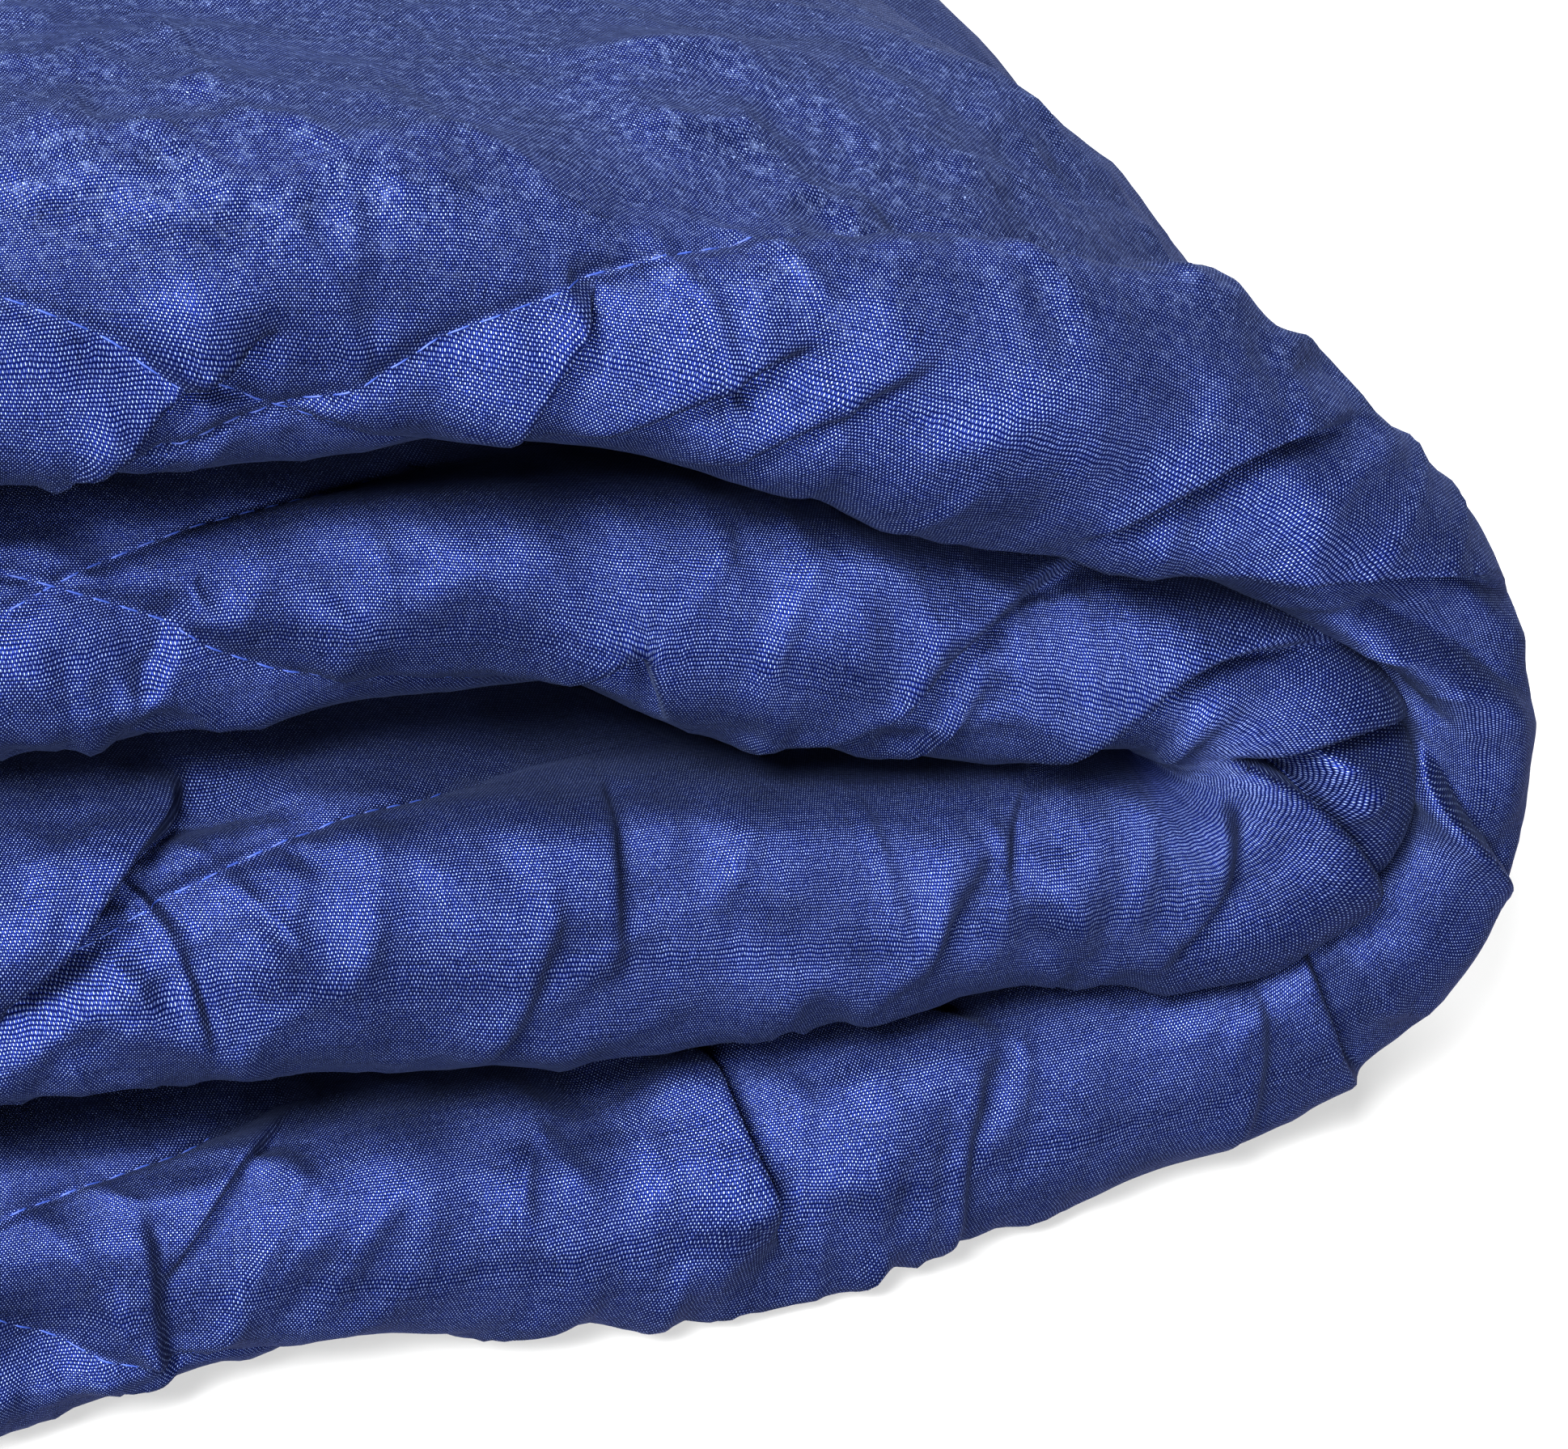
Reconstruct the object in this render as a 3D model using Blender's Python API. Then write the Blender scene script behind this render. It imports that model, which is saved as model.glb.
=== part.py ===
"""Quilt, sewn in slanting channels, folded in half and then twice across into four puffy layers.

The quilt is one filled piece of cloth. It is first folded along its length, so that every
layer of the bundle is a round front fold with two thicknesses behind it, open at the back.
The strip made that way is then folded in half twice. Its path, seen from the front, is: top
layer to the right, outer turn, bottom layer to the left, left turn, third layer to the right,
inner turn, second layer to the left.

Units are metres. X runs along the strip, -Y is the folded front, Z is up, and the bundle
rests on z = 0 with its bounding box centred on the Z axis.
"""

import math
from collections import namedtuple

import bmesh
import bpy
import numpy as np

# ---- Driving dimensions -------------------------------------------------------------------

LAYER_DEPTH = 0.635          # front fold to hem, half of the quilt's 1.27 m
LAYER_GAP = 0.0024           # air between neighbouring layers
PLY_GAP = 0.0022             # air between the two thicknesses of one layer
FRONT_RADIUS = 0.015         # depth of the round front fold
FRONT_SQUARENESS = 2.3       # exponent of the front fold's round outline
CORNER_SOFTNESS = 0.006      # length over which the path's turns are eased

LEFT_END = -0.201            # hems of the top and second layers
LEFT_TURN = -0.158           # where the left turn starts
LEFT_BULGE = -0.197          # left turn's outermost point
OUTER_TOP = 0.040            # where the outer turn starts on the top
OUTER_HEEL = 0.150           # where the outer turn ends below
OUTER_POINT = (0.194, 0.046)     # rightmost point of the outer turn, x and z
INNER_TOP = 0.110            # where the inner turn's outside starts
INNER_HEEL = 0.150           # where it ends below
INNER_POINT = (0.175, 0.051)     # its rightmost point, x and z
INNER_TIP = 0.146            # end of the gap between the second and third layers

SEAM_DEPTH = 0.0050          # how far a sewn channel draws each face in
SEAM_REACH = 0.038           # half width of a channel's hollow
INNER_DRAW = 0.4             # share of that on the faces between the two thicknesses
HEM_REACH = 0.028            # band along a hem over which the filling thins out
HEM_DRAW = 0.26              # share of the thickness that each face loses at a hem

# Families of parallel seams, laid out on the unfolded strip: u along it, v across it.
SeamFamily = namedtuple("SeamFamily", "angle start spacing")
SEAM_FAMILIES = (
    SeamFamily(angle=math.radians(-27), start=0.245, spacing=0.373),
    SeamFamily(angle=math.radians(27), start=0.262, spacing=0.373),
)
GATHER = 0.066               # extra cloth bunched up in the inner turn
GATHER_START = 1.070         # where the bunching starts along the strip
GATHER_LENGTH = 0.180        # and over what length

# Height of each layer's upper face, and how far its front stands back, at points along X.
Section = namedtuple("Section", "x bottom third second top back_bottom back_third back_second back_top")
SECTIONS = (
    Section(-0.201, 0.026, 0.056, 0.080, 0.106, 0.011, 0.009, 0.011, 0.010),
    Section(-0.150, 0.032, 0.064, 0.092, 0.124, 0.007, 0.007, 0.011, 0.007),
    Section(-0.060, 0.037, 0.073, 0.106, 0.143, 0.003, 0.005, 0.011, 0.003),
    Section(0.000, 0.039, 0.077, 0.110, 0.149, 0.000, 0.003, 0.011, 0.001),
    Section(0.030, 0.037, 0.076, 0.109, 0.147, 0.000, 0.003, 0.011, 0.001),
    Section(0.060, 0.034, 0.073, 0.106, 0.142, 0.000, 0.003, 0.011, 0.002),
    Section(0.090, 0.032, 0.066, 0.100, 0.134, 0.001, 0.004, 0.010, 0.002),
    Section(0.120, 0.031, 0.059, 0.090, 0.122, 0.002, 0.005, 0.009, 0.002),
    Section(0.150, 0.030, 0.057, 0.079, 0.105, 0.004, 0.007, 0.008, 0.003),
    Section(0.187, 0.029, 0.056, 0.072, 0.090, 0.005, 0.008, 0.008, 0.005),
)

STATION_STEP = 0.009         # spacing of the cross sections along the strip
RAIL_STEP = 0.0005           # spacing of the points that trace the path
LEG_ROWS = 40                # rows of points from the front fold to the hem
FRONT_ROWS = 12              # rows around the front fold
SLIT_ROWS = 12               # rows along each face between the two thicknesses
TRIANGLES = 9600             # triangles kept in the finished solid
FLOOR_SNAP = 0.0003          # points this near the floor lie on it

CLOTH_BLUE = (0.022, 0.050, 0.230, 1.0)
CLOTH_ROUGHNESS = 0.82


# ---- Curves of the path -------------------------------------------------------------------

def column(name):
    return np.array([getattr(row, name) for row in SECTIONS])


def height(layer, x):
    """Height of a layer's upper face: a smooth curve through the sections, or the floor."""
    x = np.asarray(x, float)
    if layer == "floor":
        return np.zeros_like(x)
    xs = column("x")
    values = column(layer)
    slopes = np.gradient(values, xs)
    i = np.clip(np.searchsorted(xs, x) - 1, 0, len(xs) - 2)
    width = xs[i + 1] - xs[i]
    t = np.clip((x - xs[i]) / width, 0, 1)
    start = (2 * t**3 - 3 * t**2 + 1) * values[i] + (t**3 - 2 * t**2 + t) * width * slopes[i]
    end = (3 * t**2 - 2 * t**3) * values[i + 1] + (t**3 - t**2) * width * slopes[i + 1]
    return start + end


def slope(layer, x):
    step = 0.001
    return float(height(layer, x + step) - height(layer, x - step)) / (2 * step)


def point_on(layer, x):
    return np.array([x, float(height(layer, x))])


def run(layer, start, end, count=300):
    """Part of a layer's upper face as points from one x to another."""
    x = np.linspace(start, end, count)
    return np.stack([x, height(layer, x)], axis=1)


def bezier(a, b, c, d, count=300):
    t = np.linspace(0, 1, count)[:, None]
    a, b, c, d = (np.asarray(p, float) for p in (a, b, c, d))
    return (1 - t)**3 * a + 3 * (1 - t)**2 * t * b + 3 * (1 - t) * t**2 * c + t**3 * d


def turn_down(layer, x, point, reach, drop):
    """Curve from a layer's face over to the rightmost point of a turn."""
    start = point_on(layer, x)
    width = point[0] - x
    fall = start[1] - point[1]
    return bezier(start, start + [reach * width, slope(layer, x) * reach * width],
                  [point[0], point[1] + drop * fall], point)


def turn_under(point, layer, x, drop, reach):
    """Curve from the rightmost point of a turn back under to a layer's face."""
    end = point_on(layer, x)
    width = point[0] - x
    fall = point[1] - end[1]
    return bezier(point, [point[0], point[1] - drop * fall],
                  end + [reach * width, slope(layer, x) * reach * width], end)


def shifted(curve, distance):
    """The curve moved sideways, to its left as it runs."""
    tangent = np.gradient(curve, axis=0)
    tangent /= np.linalg.norm(tangent, axis=1)[:, None]
    return curve + distance * np.stack([-tangent[:, 1], tangent[:, 0]], axis=1)


def even(curve, count=300):
    length = np.r_[0, np.cumsum(np.linalg.norm(np.diff(curve, axis=0), axis=1))]
    at = np.linspace(0, length[-1], count)
    return np.stack([np.interp(at, length, curve[:, axis]) for axis in (0, 1)], axis=1)


def nearest(curve, x, first, last):
    return first + int(np.argmin(abs(curve[first:last, 0] - x)))


# ---- The two faces of the strip -----------------------------------------------------------

def paired_faces():
    """Points of the strip's outward face and inward face, pair by pair along its path."""
    half = LAYER_GAP / 2
    over = turn_down("top", OUTER_TOP, OUTER_POINT, 0.56, 0.58)
    under = turn_under(OUTER_POINT, "floor", OUTER_HEEL, 0.58, 0.52)
    wrap_runs = (
        run("second", LEFT_END, INNER_TOP),
        turn_down("second", INNER_TOP, INNER_POINT, 0.45, 0.50),
        turn_under(INNER_POINT, "bottom", INNER_HEEL, 0.55, 0.50),
        run("bottom", INNER_HEEL, LEFT_TURN + 0.003),
    )
    wrap = np.concatenate(wrap_runs)
    tip = len(wrap_runs[0]) + len(wrap_runs[1]) - 1
    outside = shifted(wrap, half)
    inside = shifted(wrap, -half)[::-1]
    pairs = []

    # Outer wrap: top layer, outer turn, bottom layer.
    top = nearest(outside, OUTER_TOP, 0, tip)
    heel = nearest(outside, OUTER_HEEL + 0.004, tip, len(wrap))
    pairs.append((run("top", LEFT_END, OUTER_TOP), outside[:top + 1]))
    pairs.append((over, outside[top:tip + 1]))
    pairs.append((under, outside[tip:heel + 1]))
    pairs.append((run("floor", OUTER_HEEL, LEFT_TURN), outside[heel:]))

    # Left turn, around a tight crease at the end of the gap below the third layer.
    crest = float(height("third", LEFT_TURN))
    bulge = np.array([LEFT_BULGE, crest / 2])
    reach = 0.024
    crease = np.array([wrap[-1][0] - 0.002, wrap[-1][1]])
    lean = [reach, slope("third", LEFT_TURN) * reach]
    leave = np.array([LEFT_TURN, crest - half])
    pairs.append((
        bezier((LEFT_TURN, 0), (LEFT_TURN - reach, 0), bulge - [0, 0.020], bulge),
        bezier(outside[-1], outside[-1] - [0.0012, 0], crease - [0, 0.0006], crease)))
    pairs.append((
        bezier(bulge, bulge + [0, 0.020], leave - lean, leave),
        bezier(crease, crease + [0, 0.0006], inside[0] - [0.0012, 0], inside[0])))

    # Inner wrap: third layer, inner turn, second layer.
    turn = len(wrap) - 1 - tip
    below = nearest(inside, INNER_TIP - 0.002, 0, turn)
    above = nearest(inside, INNER_TIP - 0.002, turn, len(wrap))
    end = nearest(inside, LEFT_END + 0.003, above, len(wrap))
    third = shifted(run("third", LEFT_TURN, INNER_TIP - 0.003), -half)
    second = shifted(run("third", INNER_TIP - 0.003, LEFT_END + 0.003), -half)
    point = point_on("third", INNER_TIP)
    pairs.append((third, inside[:below + 1]))
    pairs.append((bezier(third[-1], third[-1] + [0.002, 0], point - [0, 0.0006], point),
                  inside[below:turn + 1]))
    pairs.append((bezier(point, point + [0, 0.0006], second[0] + [0.002, 0], second[0]),
                  inside[turn:above + 1]))
    pairs.append((second, inside[above:end + 1]))
    outward = np.concatenate([even(a) for a, _ in pairs])
    inward = np.concatenate([even(b) for _, b in pairs])
    return outward, inward


def eased(curve, at, wanted):
    """The curve sampled at even distances and averaged over CORNER_SOFTNESS."""
    points = np.stack([np.interp(wanted, at, curve[:, axis]) for axis in (0, 1)], axis=1)
    span = int(CORNER_SOFTNESS / RAIL_STEP)
    weights = np.hanning(2 * span + 3)[1:-1]
    weights /= weights.sum()
    before = 2 * points[0] - points[span:0:-1]
    after = 2 * points[-1] - points[-2:-span - 2:-1]
    padded = np.concatenate([before, points, after])
    return np.stack([np.convolve(padded[:, axis], weights, "valid") for axis in (0, 1)], axis=1)


def strip_path():
    """Distance along the strip with the outward and inward face points there."""
    outward, inward = paired_faces()
    middle = (outward + inward) / 2
    at = np.r_[0, np.cumsum(np.linalg.norm(np.diff(middle, axis=0), axis=1))]
    fresh = np.r_[True, np.diff(at) > 1e-7]
    wanted = np.arange(0, at[-1], RAIL_STEP)
    return wanted, eased(outward[fresh], at[fresh], wanted), eased(inward[fresh], at[fresh], wanted)


def front_setback(outward, inward):
    """How far the front fold stands back at each point of the path."""
    x = (outward[:, 0] + inward[:, 0]) / 2
    count = len(x)
    third = count // 3
    outer_turn = int(np.argmax(x[:third * 3 // 2]))
    left_turn = third + int(np.argmin(x[third:2 * third]))
    inner_turn = left_turn + int(np.argmax(x[left_turn:]))
    bounds = (0, outer_turn, left_turn, inner_turn, count)
    setback = np.zeros(count)
    for index, layer in enumerate(("top", "bottom", "third", "second")):
        part = slice(bounds[index], bounds[index + 1])
        setback[part] = np.interp(x[part], column("x"), column("back_" + layer))
    span = 60
    weights = np.hanning(2 * span + 1)
    return np.convolve(np.pad(setback, span, mode="edge"), weights / weights.sum(), "valid")


def station_places(outward, inward):
    """Indices of the path points that become cross sections, closer together in the turns."""
    travel = np.maximum(np.linalg.norm(np.diff(outward, axis=0), axis=1),
                        np.linalg.norm(np.diff(inward, axis=0), axis=1))
    total = np.r_[0, np.cumsum(travel)]
    count = int(total[-1] / STATION_STEP)
    return np.searchsorted(total, np.linspace(0, total[-1], count)).clip(0, len(outward) - 1)


# ---- Filling and seams --------------------------------------------------------------------

def cloth_length(u):
    """Length of cloth up to a distance along the folded strip."""
    t = np.clip((u - GATHER_START) / GATHER_LENGTH, 0, 1)
    return u + GATHER * t * t * (3 - 2 * t)


def seam_hollow(u, v):
    """How far the face is drawn in by the nearest sewn channels."""
    hollow = np.zeros(np.broadcast(u, v).shape)
    for family in SEAM_FAMILIES:
        across = (cloth_length(u) - family.start) * math.sin(family.angle) - v * math.cos(family.angle)
        pitch = abs(family.spacing * math.sin(family.angle))
        distance = abs(across - pitch * np.round(across / pitch))
        share = np.clip(distance / SEAM_REACH, 0, 1)
        hollow = np.maximum(hollow, SEAM_DEPTH * np.cos(share * math.pi / 2)**2)
    return hollow


def hem_thinning(edge_distance):
    """Share of the thickness that a face loses near a hem."""
    nearness = np.clip(1 - edge_distance / HEM_REACH, 0, 1)
    return HEM_DRAW * nearness**2


# ---- Cross section ------------------------------------------------------------------------

def front_angles():
    return np.linspace(-math.pi / 2, math.pi / 2, FRONT_ROWS + 1)


def rounded(value):
    return np.sign(value) * abs(value) ** (2 / FRONT_SQUARENESS)


def section_rings(u, length, half, radius):
    """Share of the half thickness and depth for one cross section's outline, as a loop."""
    arc = math.pi / 2 * math.sqrt((radius**2 + half**2) / 2)
    depths = radius + (LAYER_DEPTH - radius) * np.linspace(0, 1, LEG_ROWS + 1)[1:]
    end_distance = min(u, length - u)
    ply = half - PLY_GAP / 2

    # Outer outline: hem, outward face, front fold, inward face, hem.
    angles = front_angles()[::-1]
    leg_v = arc + depths - radius
    v = np.r_[leg_v[::-1], arc * angles * 2 / math.pi, -leg_v]
    side = np.r_[np.ones(LEG_ROWS), rounded(np.sin(angles)), -np.ones(LEG_ROWS)]
    front = np.r_[np.zeros(LEG_ROWS), rounded(np.cos(angles)), np.zeros(LEG_ROWS)]
    depth = np.r_[depths[::-1], radius * (1 - rounded(np.cos(angles))), depths]
    hem = hem_thinning(np.minimum(LAYER_DEPTH - depth, end_distance)) * ply
    inset = np.maximum(seam_hollow(u, v), hem)
    outer = np.stack([side * (1 - inset / half), depth + inset * front], axis=1)

    # Slit between the two thicknesses, from the inward face's hem back to the outward one's.
    slit = np.linspace(LAYER_DEPTH, radius + 0.004, SLIT_ROWS + 1)
    slit_v = arc + slit - radius
    hem = hem_thinning(np.minimum(LAYER_DEPTH - slit, end_distance)) * ply
    outward_open = PLY_GAP / 2 + np.maximum(INNER_DRAW * seam_hollow(u, slit_v), hem)
    inward_open = PLY_GAP / 2 + np.maximum(INNER_DRAW * seam_hollow(u, -slit_v), hem)
    lower = np.stack([-inward_open / half, slit], axis=1)
    upper = np.stack([outward_open / half, slit], axis=1)
    tip = np.array([[0.0, radius + 0.001]])
    return np.concatenate([outer, lower, tip, upper[::-1]])


def quilt_loops():
    """Every cross section's outline as world points: stations by outline points by xyz."""
    at, outward, inward = strip_path()
    setback = front_setback(outward, inward)
    loops = []
    for k in station_places(outward, inward):
        middle = (outward[k] + inward[k]) / 2
        reach = (outward[k] - inward[k]) / 2
        half = float(np.linalg.norm(reach))
        ring = section_rings(at[k], at[-1], half, min(FRONT_RADIUS, 0.9 * half))
        flat = middle + ring[:, :1] * reach
        loops.append(np.stack([flat[:, 0], setback[k] + ring[:, 1], flat[:, 1]], axis=1))
    return np.array(loops)


# ---- Solid --------------------------------------------------------------------------------

def cloth_material():
    material = bpy.data.materials.new("quilt_cloth")
    material.use_nodes = True
    shader = material.node_tree.nodes["Principled BSDF"]
    shader.inputs["Base Color"].default_value = CLOTH_BLUE
    shader.inputs["Roughness"].default_value = CLOTH_ROUGHNESS
    shader.inputs["Metallic"].default_value = 0.0
    return material


def close_end(build, loop, first_side):
    """Flat face over one end of the strip, woven between the outline and the slit's outline."""
    outline = loop[:2 * LEG_ROWS + FRONT_ROWS + 1]
    slit = loop[:len(outline) - 1:-1]
    i = j = 0
    while i < len(outline) - 1 or j < len(slit) - 1:
        on_outline = j == len(slit) - 1
        if not on_outline and i < len(outline) - 1:
            step_out = (outline[i + 1].co - slit[j].co).length
            step_in = (outline[i].co - slit[j + 1].co).length
            on_outline = step_out <= step_in
        corner = outline[i + 1] if on_outline else slit[j + 1]
        face = (outline[i], slit[j], corner)
        build.faces.new(face if first_side else face[::-1])
        i, j = (i + 1, j) if on_outline else (i, j + 1)


def swept_mesh(loops):
    """Closed mesh through the cross sections, with a flat face over each end."""
    mesh = bpy.data.meshes.new("quilt_sections")
    build = bmesh.new()
    rows = [[build.verts.new(point) for point in loop] for loop in loops]
    count = len(rows[0])
    for near, far in zip(rows[:-1], rows[1:]):
        for i in range(count):
            j = (i + 1) % count
            build.faces.new((near[i], near[j], far[j], far[i]))
    close_end(build, rows[0], True)
    close_end(build, rows[-1], False)
    bmesh.ops.triangulate(build, faces=build.faces[:])
    build.to_mesh(mesh)
    build.free()
    return mesh


def lightened(mesh):
    """The mesh with TRIANGLES triangles, kept where the cloth curves."""
    carrier = bpy.data.objects.new("quilt_carrier", mesh)
    bpy.context.scene.collection.objects.link(carrier)
    decimate = carrier.modifiers.new("Decimate", "DECIMATE")
    decimate.ratio = TRIANGLES / len(mesh.polygons)
    graph = bpy.context.evaluated_depsgraph_get()
    light = bpy.data.meshes.new_from_object(carrier.evaluated_get(graph))
    bpy.data.objects.remove(carrier, do_unlink=True)
    bpy.data.meshes.remove(mesh)
    return light


def centred(mesh):
    """Moves the mesh so that its box stands centred on the floor, with a flat underside."""
    points = np.empty(len(mesh.vertices) * 3)
    mesh.vertices.foreach_get("co", points)
    points = points.reshape(-1, 3)
    low, high = points.min(axis=0), points.max(axis=0)
    points[:, :2] -= (low[:2] + high[:2]) / 2
    points[abs(points[:, 2]) < FLOOR_SNAP, 2] = 0.0
    mesh.vertices.foreach_set("co", points.ravel())
    mesh.update()


def main():
    for old in list(bpy.data.objects):
        bpy.data.objects.remove(old, do_unlink=True)
    mesh = lightened(swept_mesh(quilt_loops()))
    centred(mesh)
    mesh.name = "quilt"
    mesh.materials.clear()
    mesh.materials.append(cloth_material())
    quilt = bpy.data.objects.new("quilt", mesh)
    bpy.context.scene.collection.objects.link(quilt)


main()
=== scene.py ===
"""Looks of the folded quilt: filled cloth with its seams, tucks and creases, its stitches and lint
(partly painted glints), and painted highlights and shade in the weave's colour.

The cloth is one closed mesh. It is laid out flat first, as points (u, v) in metres: u runs along the
folded strip and v across it, 0 at the front-most line of every layer and positive on the outward
face. The points are denser where creases run, and follow them. Each point is then carried on to the
strip's folded path and moved along the face's normal by the seams, creases and swellings there.
"""

import math
from collections import namedtuple

import bpy
import numpy as np
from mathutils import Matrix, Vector
from mathutils.geometry import delaunay_2d_cdt


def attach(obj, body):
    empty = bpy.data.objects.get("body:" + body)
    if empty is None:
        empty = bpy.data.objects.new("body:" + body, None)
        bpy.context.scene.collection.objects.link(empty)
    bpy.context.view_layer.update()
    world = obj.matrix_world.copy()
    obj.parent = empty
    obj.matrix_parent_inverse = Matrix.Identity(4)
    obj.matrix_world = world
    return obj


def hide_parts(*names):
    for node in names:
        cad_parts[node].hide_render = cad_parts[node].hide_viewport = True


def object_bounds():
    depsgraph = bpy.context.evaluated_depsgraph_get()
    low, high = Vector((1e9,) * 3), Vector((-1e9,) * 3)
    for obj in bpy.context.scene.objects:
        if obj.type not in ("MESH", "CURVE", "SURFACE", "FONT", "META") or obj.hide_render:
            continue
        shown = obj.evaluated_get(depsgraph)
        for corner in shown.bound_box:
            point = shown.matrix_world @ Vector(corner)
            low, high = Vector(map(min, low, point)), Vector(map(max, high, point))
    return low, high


MM = 0.001

# ---- Sizes of the folded quilt: the CAD model's, except for its sag, its hems and its seams ----

LAYER_DEPTH = 0.635          # front fold to hem
LAYER_GAP = 0.0024           # air between neighbouring layers
PLY_GAP = 0.0022             # air between the two thicknesses of one layer
FRONT_RADIUS = 0.015         # depth of the round front fold
FRONT_SQUARENESS = 2.3       # exponent of the front fold's round outline
TOP_SAG = 0.10               # how far below its middle the top front fold stands out most, as a share
LOWER_SAG = 0.30             # the same for the front folds below it
SAG_CHANGE = (0.38, 0.50)    # between these distances along the strip, one goes over to the other
CORNER_SOFTNESS = 0.006      # length over which the path's turns are eased

LEFT_END = -0.201            # hems of the top and second layers
LEFT_TURN = -0.158           # where the left turn starts
LEFT_BULGE = -0.197          # left turn's outermost point
OUTER_TOP = 0.040            # where the outer turn starts on the top
OUTER_HEEL = 0.150           # where the outer turn ends below
OUTER_POINT = (0.194, 0.046)     # rightmost point of the outer turn, x and z
INNER_TOP = 0.110            # where the inner turn's outside starts
INNER_HEEL = 0.150           # where it ends below
INNER_POINT = (0.175, 0.051)     # its rightmost point, x and z
INNER_TIP = 0.146            # end of the gap between the second and third layers

# Handles at the start and end of each turn's curves, as shares of the curve's width or height.
OUTER_OVER = (0.56, 0.58)
OUTER_UNDER = (0.58, 0.52)
INNER_OVER = (0.45, 0.50)
INNER_UNDER = (0.55, 0.50)
LEFT_REACH = 0.024           # level handle of the left turn's curves
LEFT_RISE = 0.020            # upright handle at its outermost point
CREASE_LEVEL = 0.0012        # level handle of the tight curve inside the left turn
CREASE_RISE = 0.0006         # upright handle of the tight curves at the ends of the gaps
TIP_LEVEL = 0.002            # depth of a tight curve, and its level handle in the inner turn
TIP_BACK = 0.003             # how far short of the end of a gap its tight curve starts

SEAM_DEPTH = 0.0050          # how far a sewn channel draws each face in
SEAM_REACH = 0.038           # half width of a channel's hollow
SEAM_SHARPNESS = 0.0065      # half width of the narrow part of the hollow
SEAM_DITCH = 0.0006          # depth of the groove that the thread lies in
DITCH_WIDTH = 0.0011         # half width of that groove
INNER_DRAW = 0.4             # share of the hollow on the faces between the two thicknesses
HEM_REACH = 0.028            # band along a hem over which the filling thins out
HEM_DRAW = 0.30              # share of the thickness that each face loses at a hem

SeamFamily = namedtuple("SeamFamily", "angle start spacing")
SEAM_FAMILIES = (
    SeamFamily(angle=math.radians(-27), start=0.240, spacing=0.373),
    SeamFamily(angle=math.radians(27), start=0.268, spacing=0.373),
)
GATHER = 0.066               # extra cloth bunched up in the inner turn
GATHER_START = 1.070
GATHER_LENGTH = 0.180

# At x, the heights of the layers' upper faces, and how far back their front folds stand.
Section = namedtuple("Section", "x bottom third second top back_bottom back_third back_second back_top")
SECTIONS = tuple(Section(*row) for row in (
    (-0.201, 0.026, 0.056, 0.080, 0.106, 0.011, 0.009, 0.011, 0.010),
    (-0.150, 0.032, 0.064, 0.092, 0.124, 0.007, 0.007, 0.011, 0.007),
    (-0.060, 0.037, 0.073, 0.106, 0.143, 0.003, 0.005, 0.011, 0.003),
    (0.000, 0.039, 0.077, 0.110, 0.149, 0.000, 0.003, 0.011, 0.001),
    (0.030, 0.037, 0.076, 0.109, 0.147, 0.000, 0.003, 0.011, 0.001),
    (0.060, 0.034, 0.073, 0.106, 0.142, 0.000, 0.003, 0.011, 0.002),
    (0.090, 0.032, 0.066, 0.100, 0.134, 0.001, 0.004, 0.010, 0.002),
    (0.120, 0.031, 0.059, 0.090, 0.122, 0.002, 0.005, 0.009, 0.002),
    (0.150, 0.030, 0.057, 0.079, 0.105, 0.004, 0.007, 0.008, 0.003),
    (0.187, 0.029, 0.056, 0.072, 0.090, 0.005, 0.008, 0.008, 0.005),
))
RAIL_STEP = 0.0005           # spacing of the points that trace the path
SETBACK_SPAN = 60            # number of those, each way, over which the setback is averaged
SLIT_EASE = 0.006            # length over which the slit between the thicknesses opens at its tip
LAP_REACH = 5                # distance in mm beside a tuck over which its lap dies away

# ---- Creases of the front, in millimetres on the flat strip ----

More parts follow.
